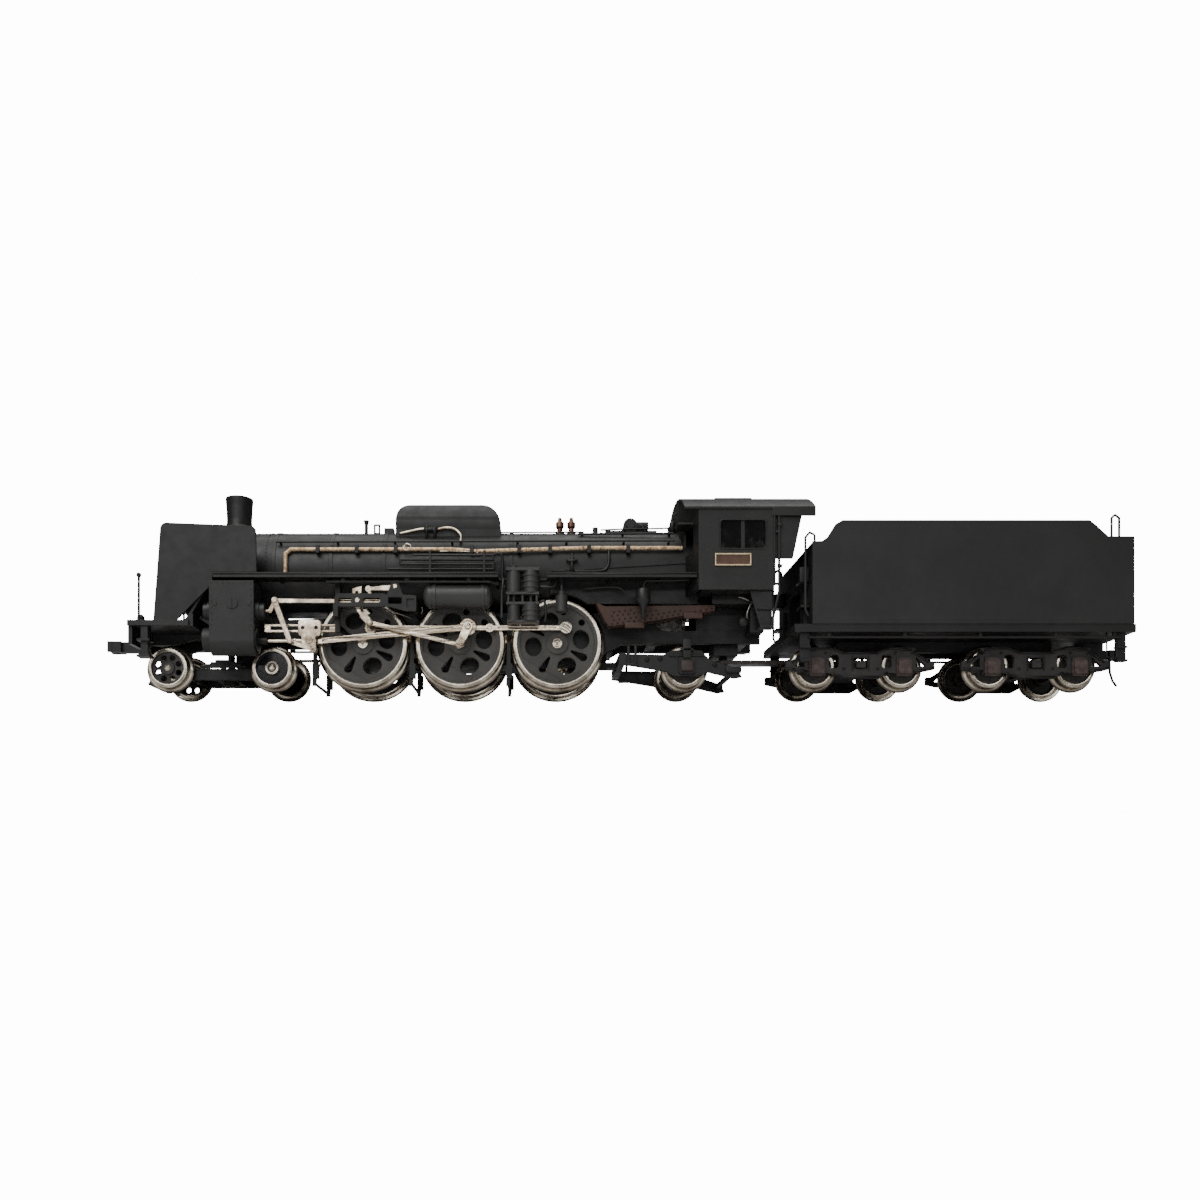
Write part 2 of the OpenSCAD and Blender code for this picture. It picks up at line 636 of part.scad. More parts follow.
module dome_casing() color(black) {
    x = drive_x;
    top = boiler_z + 17.9;
    difference() {
        intersection() {
            translate([0, 7, 0]) rotate([90, 0, 0]) linear_extrude(14) union() {
                translate([x - 16.2, boiler_z]) square([26, 10.7]);
                translate([x - 16.2, boiler_z]) square([10, 13]);
                translate([x - 11.2, boiler_z + 13]) circle(r = 4.9, $fn = 64);
                translate([x - 11.2, boiler_z + 10]) square([14, top - boiler_z - 10]);
                translate([x + 2.6, boiler_z + 10.7]) circle(r = 7.2, $fn = 64);
            }
            along_x(x - 20, x + 12) union() {
                translate([-6.6, boiler_z]) square([13.2, 13.2]);
                translate([0, boiler_z + 11.2]) circle(r = 6.7, $fn = 64);
            }
        }
        translate([x - 20, 0, boiler_z]) rotate([0, 90, 0]) cylinder(r = boiler_r, h = 40, $fn = 96);
    }
}

// Safety valves, turbo generator, whistle and clack valves on top of the boiler
module boiler_fittings() difference() {
    x = drive_x;
    top = boiler_z + boiler_r;
    union() {
        color(copper) for (d = [24.6, 27.5]) translate([x + d, 0, top - 0.3])
            rotate_extrude() polygon([[0, 0], [1.15, 0], [1.15, 0.9], [0.7, 1.2], [0.7, 1.9], [1.05, 2.3],
                [1.05, 3.4], [0.6, 3.8], [0.45, 4.7], [0, 4.7]]);
        color(black) {
            translate([x + 36, -1.7, top - 0.4]) cube([13, 3.4, 1.1]);
            translate([x + 42.4, 0, top + 2.3]) rotate([90, 0, 0]) cylinder(r = 1.75, h = 2.4, center = true);
            translate([x + 42.4, -1.4, top + 2.3]) rotate([90, 0, 0])
                cylinder(r = 1.1, h = 0.8, center = true);
            translate([x + 42.4, 0, top + 2.3]) rotate([0, 90, 0]) cylinder(r = 1.1, h = 4.6);
            translate([x + 33.6, 0, top - 0.3]) cylinder(r = 0.7, h = 2.2);
            translate([x - 24.5, 0, top - 0.3]) cylinder(r = 0.45, h = 3.3);
            translate([x - 24.5, 0, top + 2.8]) cylinder(r1 = 0.5, r2 = 0.75, h = 0.9);
            translate([x - 22.6, -0.7, top - 0.3]) cube([1.6, 1.4, 0.8]);
            translate([x - 19.8, -1.3, top - 0.4]) cube([2.4, 2.6, 1.9]);
            bent_wire([[x - 22.4, 0, top + 0.2], [x - 22.4, 0, top + 2.6], [x - 21.2, 0, top + 2.6],
                [x - 21.2, 0, top + 0.2]], 0.25);
        }
    }
    barrel(0);
}

// ---- superstructure ------------------------------------------------------------------------

module smoke_deflectors() color(black) both_sides() {
    x = drive_x;
    plate([16.3, 16.3 + sheet]) {
        polygon([[x - 72.4, 16], [x - 70.8, 37.4], [x - 69.2, 39.1], [x - 49.2, 38.3], [x - 48.1, 37.2],
            [x - 47.9, 27.4], [x - 58.4, 27.4], [x - 58.4, 24.6], [x - 66.9, 16]]);
        translate([x - 69.3, 37.6]) circle(r = 1.5);
        translate([x - 49.3, 37.1]) circle(r = 1.2);
    }
    for (d = [-66, -52]) wire([x + d, -16.4, 33], [x + d, -10.45, 33], 0.35);
}

module front_deck() color(black) {
    x = drive_x;
    translate([x - 78.7, -16.2, 10.4]) cube([1, 32.4, 4.3]);
    translate([x - 78.7, -16.9, 14.7]) cube([14.6, 33.8, 1.3]);
    translate([x - 64.2, -16.2, 14.7]) cube([1, 32.4, 2.9]);
    both_sides() {
        plate([10.6, 16.2]) polygon([[x - 65.3, 15.9], [x - 64.5, 15.9], [x - 58.4, 26.3], [x - 58.4, 27.3]]);
        plate([14.2, 16.4]) translate([x - 75.6, 7.4]) square([1.7, 7.4]);
        plate([14.2, 17.2]) translate([x - 76.3, 11]) square([3.1, 0.5]);
        plate([14.2, 17.2]) translate([x - 76.3, 7.2]) square([3.1, 0.5]);
        wire([x - 76.2, -15.9, 15.9], [x - 76.2, -15.9, 26.6], 0.3);
        translate([x - 76.2, -15.9, 26.9]) sphere(r = 0.6, $fn = 24);
        translate([x - 79.2, -11, 12.6]) rotate([0, 90, 0]) cylinder(r = 1.1, h = 0.6);
        translate([x - 77, -12.5, 16]) rotate_extrude() polygon([[0, -0.1], [0.9, -0.1], [0.9, 1.6],
            [0.4, 2.2], [0, 2.2]]);
    }
    translate([x - 81.6, -2.2, 10.6]) cube([3.6, 4.4, 0.6]);
    translate([x - 81.6, -2.2, 14.1]) cube([3.6, 4.4, 0.6]);
    translate([x - 80.4, 0, 11]) cylinder(r = coupler_pin_r, h = 3.4);
}

// Footplates on both sides with their angle-iron valances and the pipe under them
module running_boards() color(black) both_sides() {
    x = drive_x;
    inner = [9.95, 10.55];
    ends = [[-58.3, 9.5], [21.2, 56.8]];
    for (i = [0:1]) {
        l = ends[i][1] - ends[i][0];
        translate([x + ends[i][0], -17, 26.8]) cube([l, 17 - inner[i], 0.5]);
        translate([x + ends[i][0], -17, 26.1]) cube([l, 0.5, 1.2]);
        for (d = [ends[i][0] + 3 : 12 : ends[i][1] - 2]) translate([x + d, -16.6, 26.1]) cube([0.5, 6, 0.75]);
    }
    translate([x + 9.4, -11.4, 26.8]) cube([11.9, 1.45, 0.5]);
    bent_wire([[x - 31.5, -15.6, 25.4], [x + 7.6, -15.6, 25.4], [x + 9.3, -14.6, 25.1],
        [x + 9.3, -11, 25.1]], 0.42);
    for (d = [-28, -12.8, 2]) translate([x + d, -16, 25.4]) cube([1, 0.8, 1.5]);
}

// Cross-section of the cab in (y, z): upright walls under one roof arc
module cab_section(grow, half_w) {
    intersection() {
        translate([0, roof_z - roof_r]) circle(r = roof_r + grow, $fn = 192);
        translate([-half_w, 20]) square([2 * half_w, 40]);
    }
}

// Plan of the cab in (x, y), its front corners cut back towards the boiler
module cab_plan(inset, rear) {
    x = cab_front_x + inset;
    w = cab_half_w - inset;
    slope = 3.2;
    polygon([[x, -w], [rear, -w], [rear, w], [x, w], [x - slope, 7], [x - slope, -7]]);
}

module cab_shell() color(black) {
    x0 = cab_front_x;
    x1 = cab_rear_x;
    difference() {
        intersection() {
            translate([0, 0, 23]) linear_extrude(30) cab_plan(0, x1);
            along_x(x0 - 9, x1 + 1) cab_section(0, cab_half_w);
        }
        intersection() {
            translate([0, 0, 22]) linear_extrude(30) cab_plan(sheet, x1 + 5);
            along_x(x0 - 9, x1 + 6) cab_section(-sheet, cab_half_w);
        }
        both_sides() {
            plate([16, 19]) soft_box([x0 + 5.1, 32.7], [x0 + 16, 39.6], 0.6);
            translate([x0 - 6, -14.6, 32.8]) cube([10, 5.0, 6.2]);
            translate([x0 - 6, -17.05, 26.05]) cube([5.75, 7, 1.3]);
        }
        translate([x0 - 9, 0, boiler_z]) rotate([0, 90, 0]) cylinder(r = boiler_r + 0.05, h = 12, $fn = 96);
        translate([x0 - 6, -boiler_r - 0.05, 20]) cube([8, 2 * boiler_r + 0.1, boiler_z - 20]);
    }
    difference() {
        along_x(x0 - 3.4, x1 + 9.9) cab_section(0.3, cab_half_w + 0.35);
        along_x(x0 - 10, x1 + 20) cab_section(-0.3, cab_half_w + 1);
        translate([x0 - 20, -30, 0]) cube([80, 60, eaves_z - 0.4]);
    }
    translate([x0 + 6, -4.6, roof_z - 0.2]) cube([9.2, 9.2, 0.8]);
    both_sides() {
        plate([16.3, 16.3 + sheet]) polygon([[x1 - 0.5, 30.6], [x1 + 4.7, 30.6], [x1 + 7.2, 42.4],
            [x1 - 0.5, 42.4]]);
        plate([17.3, 17.85]) translate([x1 - 0.5, 40.5]) square([10.4, 2.0]);
        plate([16.9, 17.3]) translate([x0 + 10.1, 32.2]) square([0.9, 7.9]);
        bent_wire([[x1 - 0.4, -17.0, 14.9], [x1 + 1.3, -17.4, 22.6], [x1 + 1.3, -17.4, 40.8]], 0.3);
        wire([x1 + 0.2, -17.6, 24], [x1 + 0.2, -17.6, 40.8], 0.22);
        for (z = [24.4, 36.8]) wire([x1 - 0.6, -17.2, z], [x1 + 1.4, -17.4, z], 0.3);
        plate([13.6, 17.2]) translate([x1 - 3.2, 14.2]) square([3.4, 0.6]);
        plate([13.6, 17.2]) translate([x1 - 3.6, 18.4]) square([3.2, 0.5]);
        plate([15.9, 16.5]) polygon([[x1 - 3, 14.4], [x1 - 0.2, 14.4], [x1 - 0.1, 23.2], [x1 - 5.5, 23.2]]);
        translate([x0 - 4.5, -14.8, 39.3]) cube([7.6, 5.4, 0.5]);
    }
    translate([x0 + 0.9, -17, 23]) cube([x1 - x0 - 1.4, 34, 0.7]);
}

module number_plates() both_sides() {
    x = cab_front_x + 8.1;
    color(rust) plate([17.5, 17.8]) translate([x - 4.3, 28.6]) square([8.6, 2.9]);
    color(copper) plate([17.8, 18.0]) difference() {
        translate([x - 4.3, 28.6]) square([8.6, 2.9]);
        translate([x - 4.0, 28.9]) square([8.0, 2.3]);
    }
}

// Inside of the cab: the boiler's back plate with its fire door, gauges and regulator
module backhead() color(black) {
    x = cab_front_x;
    along_x(x + 0.9, x + 3.2) intersection() {
        firebox_section(-0.6, 23.7);
        translate([-12, 23.7]) square([24, 20]);
    }
    translate([x + 3.2 - eps, 0, 28]) rotate([0, 90, 0]) cylinder(r = 2.6, h = 0.6);
    translate([x + 3.2 - eps, -1.2, 35.6]) cube([0.9, 2.4, 2.4]);
    color(copper) for (y = [-4, 0, 4]) translate([x + 3.2 - eps, y, 39]) rotate([0, 90, 0])
        cylinder(r = 1.2, h = 0.6);
    bent_wire([[x + 3.1, 0, 34], [x + 4.6, 0, 34], [x + 4.6, 5, 36.5]], 0.3);
    both_sides() {
        translate([x + 6.5, -15.4, 23.7]) cube([4.6, 4.6, 4.4]);
    }
}

module ash_pan() color(rust) {
    x = drive_x;
    both_sides() plate([9.2, 12.6])
        polygon([[x + 33, 21.2], [x + 35.4, 20.2], [x + 61.8, 20.5], [x + 61.8, 19.2], [x + 46, 16.6],
            [x + 36.4, 15.4], [x + 35.2, 16.6]]);
    both_sides() plate([6.4, 9.3]) translate([x + 38, 19.2]) square([6, 0.6]);
}

// ---- fittings on the footplate -------------------------------------------------------------

module air_reservoirs() color(black) both_sides() {
    x0 = drive_x - 8.6;
    r = 2.8;
    translate([x0, -13.6, 22.3]) rotate([0, 90, 0]) rotate_extrude() polygon([[0, 0], [1.6, 0.25],
        [r - 0.35, 0.7], [r, 1.3], [r, 15.5], [r - 0.35, 16.1], [1.6, 16.55], [0, 16.8]]);
    for (d = [2.4, 14]) {
        translate([x0 + d, -13.6, 22.3]) rotate([0, 90, 0]) cylinder(r = r + 0.22, h = 0.8);
        translate([x0 + d + 0.1, -13.9, 24.8]) cube([0.6, 0.6, 2.05]);
    }
}

// Two-stage air pump ahead of the rear wheels and the small oil pump behind it
module air_pumps() color(black) both_sides() {
    x = drive_x + 15.3;
    translate([x, -13.6, 23]) {
        translate([-2.1, 0, 0]) cylinder(r = 1.75, h = 5.4);
        translate([2.0, 0, 0]) cylinder(r = 1.9, h = 5.4);
        for (z = [1.2, 2.6, 4]) translate([2.0, 0, z]) cylinder(r = 2.1, h = 0.5);
        translate([-3.9, -1.8, 5.2]) cube([7.9, 3.6, 0.7]);
        translate([-2.1, 0, 5.8]) cylinder(r = 0.9, h = 0.7);
        translate([-3.9, -1.6, -0.5]) cube([7.9, 3.2, 0.6]);
        for (dx = [-2.1, 2.0]) translate([dx, 0, -2.6]) cylinder(r = 0.5, h = 2.3);
        for (dx = [-3.4, 0, 3.4]) translate([dx - 0.25, -1.2, -2.8]) cube([0.5, 2.4, 2.6]);
        translate([-2.1, 0, -6.8]) cylinder(r = 1.55, h = 4.2);
        translate([2.0, 0, -6.8]) cylinder(r = 2.1, h = 4.2);
        for (z = [-5.6, -4.4]) translate([2.0, 0, z]) cylinder(r = 2.3, h = 0.45);
        translate([-3.9, -1.6, -2.9]) cube([7.9, 3.2, 0.6]);
        translate([-3.7, -1.4, -7.1]) cube([7.6, 2.8, 0.5]);
        translate([-3, 1, 0.6]) cube([6, 2.2, 3.2]);
    }
    translate([x + 9.4, -14.2, 18.4]) cylinder(r = 1.45, h = 3.9);
    translate([x + 9.4, -14.2, 22.2]) cylinder(r = 0.9, h = 1.2);
    bent_wire([[x + 9.4, -14.2, 23.2], [x + 9.4, -14.2, 24.8], [x + 9.4, -12, 24.8],
        [x + 9.4, -12, 27]], 0.35);
    bent_wire([[x - 4.6, -12.4, 27], [x - 5, -13.6, 23.4], [x - 5, -13.6, 17.5], [x - 3.6, -13.6, 17]], 0.3);
}

// Lagged steam pipes along both sides of the boiler
module boiler_pipes() color(copper) both_sides() {
    x = drive_x;
    y = -10.55;
    z = 34.6;
    bent_wire([[x - 42.4, -11.1, 27.3], [x - 42.4, -10.9, 33.4], [x - 41.2, y, z], [x - 2, y, z],
        [x + 4, y - 0.3, z - 0.6], [x + 16, y - 0.3, z - 0.2], [x + 30, y, z + 0.3],
            [x + 54.2, y, z + 0.3]], 0.48);
}

// Handrails, cooling coil on the footplate and the pipe clamps
module handrails() color(black) both_sides() {
    x = drive_x;
    wire([x - 45, -9.9, 36.6], [x + 52.5, -9.9, 36.9], 0.25);
    for (d = [-44, -30, -16, -2, 14, 26, 40, 51]) wire([x + d, -9.95, 36.7], [x + d, -8.6, 36.4], 0.3);
    for (d = [-35, -25.5, -16, 2.5, 14, 21.5, 31, 40.5]) translate([x + d, -11.6, 33.5])
        cube([0.9, 1.9, 1.9]);
    y = -12.6;
    x0 = x - 14.2;
    x1 = x + 8.2;
    bent_wire([[x0 + 3, y, 32.6], [x1, y, 32.6], [x1, y, 31.5], [x0, y, 31.5], [x0, y, 30.4], [x1, y, 30.4],
        [x1, y, 29.2], [x0 - 3, y, 29.2]], 0.3);
    for (d = [-7.3, 5.8]) translate([x + d, y - 0.4, 27.3]) cube([0.5, 0.8, 6.3]);
    wire([x + 29, -6.4, 39.6], [x + 52.6, -6.9, 39.6], 0.25);
    for (d = [30, 40, 51.5]) wire([x + d, -6.7, 39.6], [x + d, -5.9, 39.2], 0.3);
}

// ---- drive ---------------------------------------------------------------------------------

module motor() color(nickel) {
    x = drive_x + 37;
    intersection() {
        translate([x, 0, worm_z]) rotate([0, 90, 0]) cylinder(r = 6.6, h = 18);
        translate([x, -4.9, worm_z - 5]) cube([18, 9.8, 10]);
    }
    translate([x + 18 - eps, 0, worm_z]) rotate([0, 90, 0]) cylinder(r = 2.2, h = 1.2);
    translate([x - 0.8, 0, worm_z]) rotate([0, 90, 0]) difference() {
        cylinder(r = 2.2, h = 0.9);
        translate([0, 0, -1]) cylinder(r = 0.8, h = 3);
    }
}

module worm_shaft() color(nickel) {
    x = axle_x[2];
    translate([x - 6, 0, worm_z]) rotate([0, 90, 0]) cylinder(r = 0.7, h = drive_x + 42.95 - x);
    pitch = PI * 10.8 / 24;
    translate([x, 0, worm_z]) rotate([0, 90, 0]) rotate_extrude() {
        translate([0, -3.4]) square([1.3, 6.8]);
        for (k = [-2:1]) polygon([[1.2, (k + 0.22) * pitch], [1.58, (k + 0.36) * pitch],
            [1.58, (k + 0.64) * pitch], [1.2, (k + 0.78) * pitch]]);
    }
}

module axle_gear() color(copper) {
    teeth = 24;
    difference() {
        translate([axle_x[2], 1.5, driver_z]) rotate([90, 0, 0]) union() {
            cylinder(r = 4.7, h = 3);
            linear_extrude(3) for (k = [0:teeth - 1]) rotate(90 + k * 360 / teeth)
                polygon([[4.5, -0.34], [5.25, -0.16], [5.25, 0.16], [4.5, 0.34]]);
        }
        translate([axle_x[2], 3, driver_z]) rotate([90, 0, 0]) cylinder(r = 1.5, h = 6);
    }
}

module gearbox() color(copper) {
    x = axle_x[2];
    difference() {
        translate([x - 7.2, -3.4, driver_z - 3]) cube([14.4, 6.8, 11.9]);
        translate([x - 6.2, -2.2, driver_z - 6]) cube([12.4, 4.4, 14.1]);
        translate([x, 5, driver_z]) rotate([90, 0, 0]) cylinder(r = 1.5 + fit, h = 10);
        translate([x - 9, 0, worm_z]) rotate([0, 90, 0]) cylinder(r = 0.7 + fit, h = 20);
        translate([x, 0, driver_z]) rotate([90, 0, 0]) cylinder(r = 6.2, h = 4.4, center = true);
        translate([x - 3.8, -1.95, driver_z + 8]) cube([7.6, 3.9, 3]);
    }
}

// ---- trucks --------------------------------------------------------------------------------

module leading_bogie() color(black) difference() {
    x = lead_pivot_x;
    union() {
        both_sides() {
            plate([5.2, 6.6]) difference() {
                polygon([[x - 15, 4.2], [x - 15, 6.9], [x - 9.5, 8.0], [x - 7.2, 6.2], [x + 7.2, 6.2],
                    [x + 9.5, 8.0], [x + 15, 6.9], [x + 15, 4.2], [x + 9.6, 3.4], [x - 9.6, 3.4]]);
                for (s = [-1, 1]) translate([x + s * lead_half, small_z]) circle(r = 0.8 + fit);
            }
            plate([6.5, 7.1]) {
                for (k = [0:3]) translate([x - 5.6 + 1.2 * k, 6.3 + 0.5 * k]) square([11.2 - 2.4 * k, 0.52]);
                translate([x - 0.6, 6]) square([1.2, 2.2]);
            }
            plate([5.2, 6.0]) translate([x - 18.6, 2.1]) square([4.2, 3]);
        }
        translate([x - 2.6, -5.3, 3.6]) cube([5.2, 10.6, 2.4]);
        for (d = [-9, 7.6]) translate([x + d, -5.3, 3.6]) cube([1.4, 10.6, 1.8]);
        translate([x - 18.6, -7.0, 2.1]) cube([1, 14, 0.7]);
        translate([x, 0, 2.9]) cylinder(r = 1.9, h = 0.8);
    }
    translate([x, 0, 0]) cylinder(r = 0.9 + fit, h = 20);
}

module trailing_truck() color(black) {
    x = trail_x;
    px = trail_pivot_x + 4.5;
    difference() {
        union() {
            both_sides() {
                plate([11.0, 12.2]) polygon([[x - 16, 8.8], [x - 5.5, 8.6], [x - 3.6, 9.6], [x + 3.6, 9.6],
                    [x + 5.6, 7.4], [x + 12.4, 5.2], [x + 13.4, 3.2], [x + 11.6, 2.9], [x + 5.2, 4.4],
                    [x + 2.6, 3.4], [x - 2.6, 3.4], [x - 5, 4.6], [x - 16, 6.4]]);
                plate([12.1, 12.9]) soft_box([x - 1.9, small_z - 1.9], [x + 1.9, small_z + 2.1], 0.5);
                plate([12.1, 12.6]) for (k = [0:2])
                    translate([x - 4.2 + k, 8.2 + 0.5 * k]) square([8.4 - 2 * k, 0.42]);
                translate([x - 16.4, -12.2, 6.4]) cube([1.6, 12.2 + eps, 2.4]);
            }
            translate([px - 2.4, -1.8, 7.2]) cube([x - 14.8 - px + 2.4, 3.6, 1.4]);
        }
        both_sides() pin([x, small_z], 0.75 + fit, [10, 12.7]);
        translate([px, 0, 0]) cylinder(r = 0.9 + fit, h = 20);
    }
    both_sides() translate([x + 10.8, -12.2, 3.9]) cube([0.9, 12.2 + eps, 1]);
}

// ---- tender --------------------------------------------------------------------------------

module drawbar() color(nickel) difference() {
    translate([0, 0, 8.2]) linear_extrude(0.9) hull() for (px = [loco_pin_x, tender_pin_x])
        translate([px, 0]) circle(r = 2.2, $fn = 32);
    for (px = [loco_pin_x, tender_pin_x]) translate([px, 0, 5]) cylinder(r = 1 + fit, h = 6);
}

module tender_frame() color(black) {
    x = tender_x;
    z = 13.1;
    translate([x, -16, z]) cube([tender_l, 32, 1.9]);
    both_sides() {
        translate([x, -17, z]) cube([tender_l, 1.2, 1.9]);
        wire([x + 3.5, -16.2, 12.0], [x + tender_l - 3, -16.2, 12.0], 0.3);
        for (d = [8, 26, 44, 62, 76]) translate([x + d, -16.4, 12]) cube([0.8, 0.5, 1.2]);
        for (d = [1.5, tender_l - 4.2]) {
            plate([15.2, 15.8]) translate([x + d, 6.4]) square([2.4, 6.8]);
            for (z = [6.2, 9.4]) plate([14.9, 16.6]) translate([x + d, z]) square([2.4, 0.5]);
        }
        translate([x + 14, -4.6, 10.6]) cube([tender_l - 28, 1.2, 2.6]);
    }
    for (bx = bogie_x) {
        translate([bx - 2.6, -4.6, 10.2]) cube([5.2, 9.2, 3]);
        translate([bx, 0, 4.6]) cylinder(r = 1, h = 5.6 + eps);
    }
    translate([tender_pin_x, 0, 7.5]) cylinder(r = 1, h = 5.7);
    translate([tender_pin_x, 0, 7.3]) cylinder(r = 1.6, h = 0.5);
    translate([x + tender_l - 5, -2.6, 11.9]) cube([5, 5.2, 1.3]);
    translate([x + tender_l - 5, -2.6, 8.8]) cube([5, 5.2, 0.7]);
    both_sides() translate([x + tender_l - 5, -2.6, 9.4]) cube([5, 0.6, 2.6]);
    translate([x + tender_l - 3.4, 0, 9.4]) cylinder(r = coupler_pin_r, h = 2.6);
}

// Side outline of the tank in (x, z): low at both ends, tall over the coal space
module tank_side(x, l) {
    base = 15;
    step_front = 34.4;
    step_rear = 35.6;
    polygon([[x, base], [x + l, base], [x + l, step_rear], [x + l - 6.2, step_rear],
        [x + l - 9.4, tank_top - 1],
        [x + l - 10.6, tank_top], [x + 7.2, tank_top], [x + 5.6, tank_top - 1], [x + 3.6, step_front + 0.9],
        [x + 2.2, step_front], [x, step_front]]);
}

module tender_tank() color(black) {
    x = tender_x + 4.2;
    l = tender_l - 4.7;
    coal_x0 = x + 2.6;
    coal_x1 = x + l - 24;
    difference() {
        plate([-tank_half_w, tank_half_w]) tank_side(x, l);
        plate([0.8 - tank_half_w, tank_half_w - 0.8]) polygon([[coal_x0, 26], [coal_x0 + 18, 26],
            [coal_x1, 36], [coal_x1, 41], [coal_x0, 41]]);
        plate([0.8 - tank_half_w, tank_half_w - 0.8]) polygon([[x + 3.8, 14], [x + l - 0.8, 14],
            [x + l - 0.8, 34.3], [coal_x1, 34.3], [coal_x0 + 18.3, 24.8], [x + 3.8, 24.8]]);
        translate([coal_x1 + 1.2, -tank_half_w + 0.8, 35.3]) cube([40, 2 * tank_half_w - 1.6, 6]);
        translate([x - 1, -5.4, 17.2]) cube([4, 10.8, 9]);
    }
    translate([x - 0.8, -12, 15]) cube([0.9, 3.4, 8.6]);
    translate([x - 0.8, 8.6, 15]) cube([0.9, 3.4, 8.6]);
    translate([x + l - 14, 0, 35]) cylinder(r = 3.2, h = 1.6);
    translate([x + l - 14, 0, 36.4]) cylinder(r = 3.5, h = 0.6);
    both_sides() {
        bent_wire([[x - 0.9, -16.7, 17], [x - 1.6, -16.7, 18.5], [x - 1.6, -16.7, 35.6],
            [x - 0.6, -16.7, 36.8], [x + 0.6, -16.7, 36.2], [x + 0.6, -16.7, 34.4 + seam]], 0.28);
        bent_wire([[x + l - 5.2, -16.7, 35.6 + seam], [x + l - 5.2, -16.7, 40.2], [x + l - 4.4, -16.7, 41],
            [x + l - 3.4, -16.7, 40.2], [x + l - 3.4, -16.7, 35.6 + seam]], 0.28);
    }
    for (z = [18.6, 24.2, 30.2]) both_sides() bent_wire([[x + l + seam, -12.4, z], [x + l + 1.3, -12.4, z],
        [x + l + 1.3, -7, z], [x + l + seam, -7, z]], 0.28);
    translate([x + l - 0.1, 0, 31]) rotate([0, 90, 0]) cylinder(r = 1.7, h = 1.4);
}

// Cast side frame outline of a tender bogie in (x, z), about its own centre
module bogie_side_outline() {
    difference() {
        union() {
            polygon([[-12.6, 9.2], [-13.6, 10.2], [-7, 10.6], [-4, 9.4], [4, 9.4], [7, 10.6],
                [13.6, 10.2], [12.6, 9.2],
                [7.4, 7.2], [7.0, 4.2], [4.6, 2.9], [-4.6, 2.9], [-7.0, 4.2], [-7.4, 7.2]]);
            for (s = [-1, 1]) {
                translate([s * 10.6 - 2.4, 4.0]) square([4.8, 5.6]);
                translate([s * 7.6 - 0.9, 4.2]) square([1.8, 5.2]);
                polygon([[s * 12.4, 9.5], [s * 14.2, 8.7], [s * 16.8, 7.1], [s * 18, 7.0], [s * 18, 5.1],
                    [s * 15.8, 4.6], [s * 12.4, 4.2]]);
            }
        }
        soft_box([-1.7, 5.2], [1.7, 7.9], 0.4);
        for (s = [-1, 1]) {
            polygon([[s * 5.2, 5.9], [s * 5.6, 5.4], [s * 7.2, 5.4], [s * 7.6, 5.9], [s * 7.6, 8.1],
                [s * 7.2, 8.6], [s * 5.6, 8.6], [s * 5.2, 8.1]]);
            polygon([[s * 13.5, 8.1], [s * 13.5, 5.6], [s * 15.9, 5.9]]);
        }
    }
}

module tender_bogie(i) color(black) {
    x = bogie_x[i];
    half = (tender_axle_x[1] - tender_axle_x[0]) / 2;
    difference() {
        union() {
            both_sides() {
                translate([x, 0, 0]) plate([10.9, 12.0]) bogie_side_outline();
                for (s = [-1, 1]) {
                    plate([11.9, 13.0]) soft_box([x + s * half - 1.5, small_z - 1.9],
                        [x + s * half + 1.5, small_z + 1.4], 0.4);
                    plate([11.9, 12.5]) translate([x + s * half - 1.9, small_z - 2.4]) square([3.8, 4.6]);
                }
                plate([11.9, 12.6]) translate([x - 1.1, 5.4]) square([2.2, 1.6]);
            }
            translate([x - 3, -11, 5]) cube([6, 22, 2.4]);
            translate([x, 0, 7]) cylinder(r = 2.6, h = 2.9);
        }
        both_sides() for (s = [-1, 1]) pin([x + s * half, small_z], 0.75 + fit, [10, 11.4]);
        translate([x, 0, 0]) cylinder(r = 1 + fit, h = 20);
    }
}

// ---- couplers ------------------------------------------------------------------------------

// Outline of a knuckle coupler in (x, y), its pivot at the origin and its jaw towards +X
module knuckle_outline(l) {
    difference() {
        union() {
            circle(r = 1.5, $fn = 32);
            translate([0, -0.85]) square([l - 2.2, 1.7]);
            translate([l - 3.4, -1.9]) square([3.0, 3.8]);
            translate([l - 0.9, -1.1]) circle(r = 0.9, $fn = 24);
            translate([l - 1.2, 1.3]) square([1.2, 0.7]);
        }
        circle(r = coupler_pin_r + fit, $fn = 32);
        translate([l - 1.9, 0.1]) circle(r = 0.8, $fn = 24);
    }
}

module coupler_front() color(black)
    translate([drive_x - 80.4, 0, 11.3]) rotate(180) linear_extrude(2.7) knuckle_outline(9.1);

module coupler_rear() color(black) {
    x = tender_x + tender_l - 3.4;
    translate([x, 0, 9.6]) linear_extrude(2.2) knuckle_outline(8.8);
    bent_wire([[x + 6.4, 0, 9.7], [x + 6.5, 0, 6.4], [x + 7.2, 0, 4.2], [x + 8.2, 0, 2.9]], 0.3);
}

// ---- assembly ------------------------------------------------------------------------------

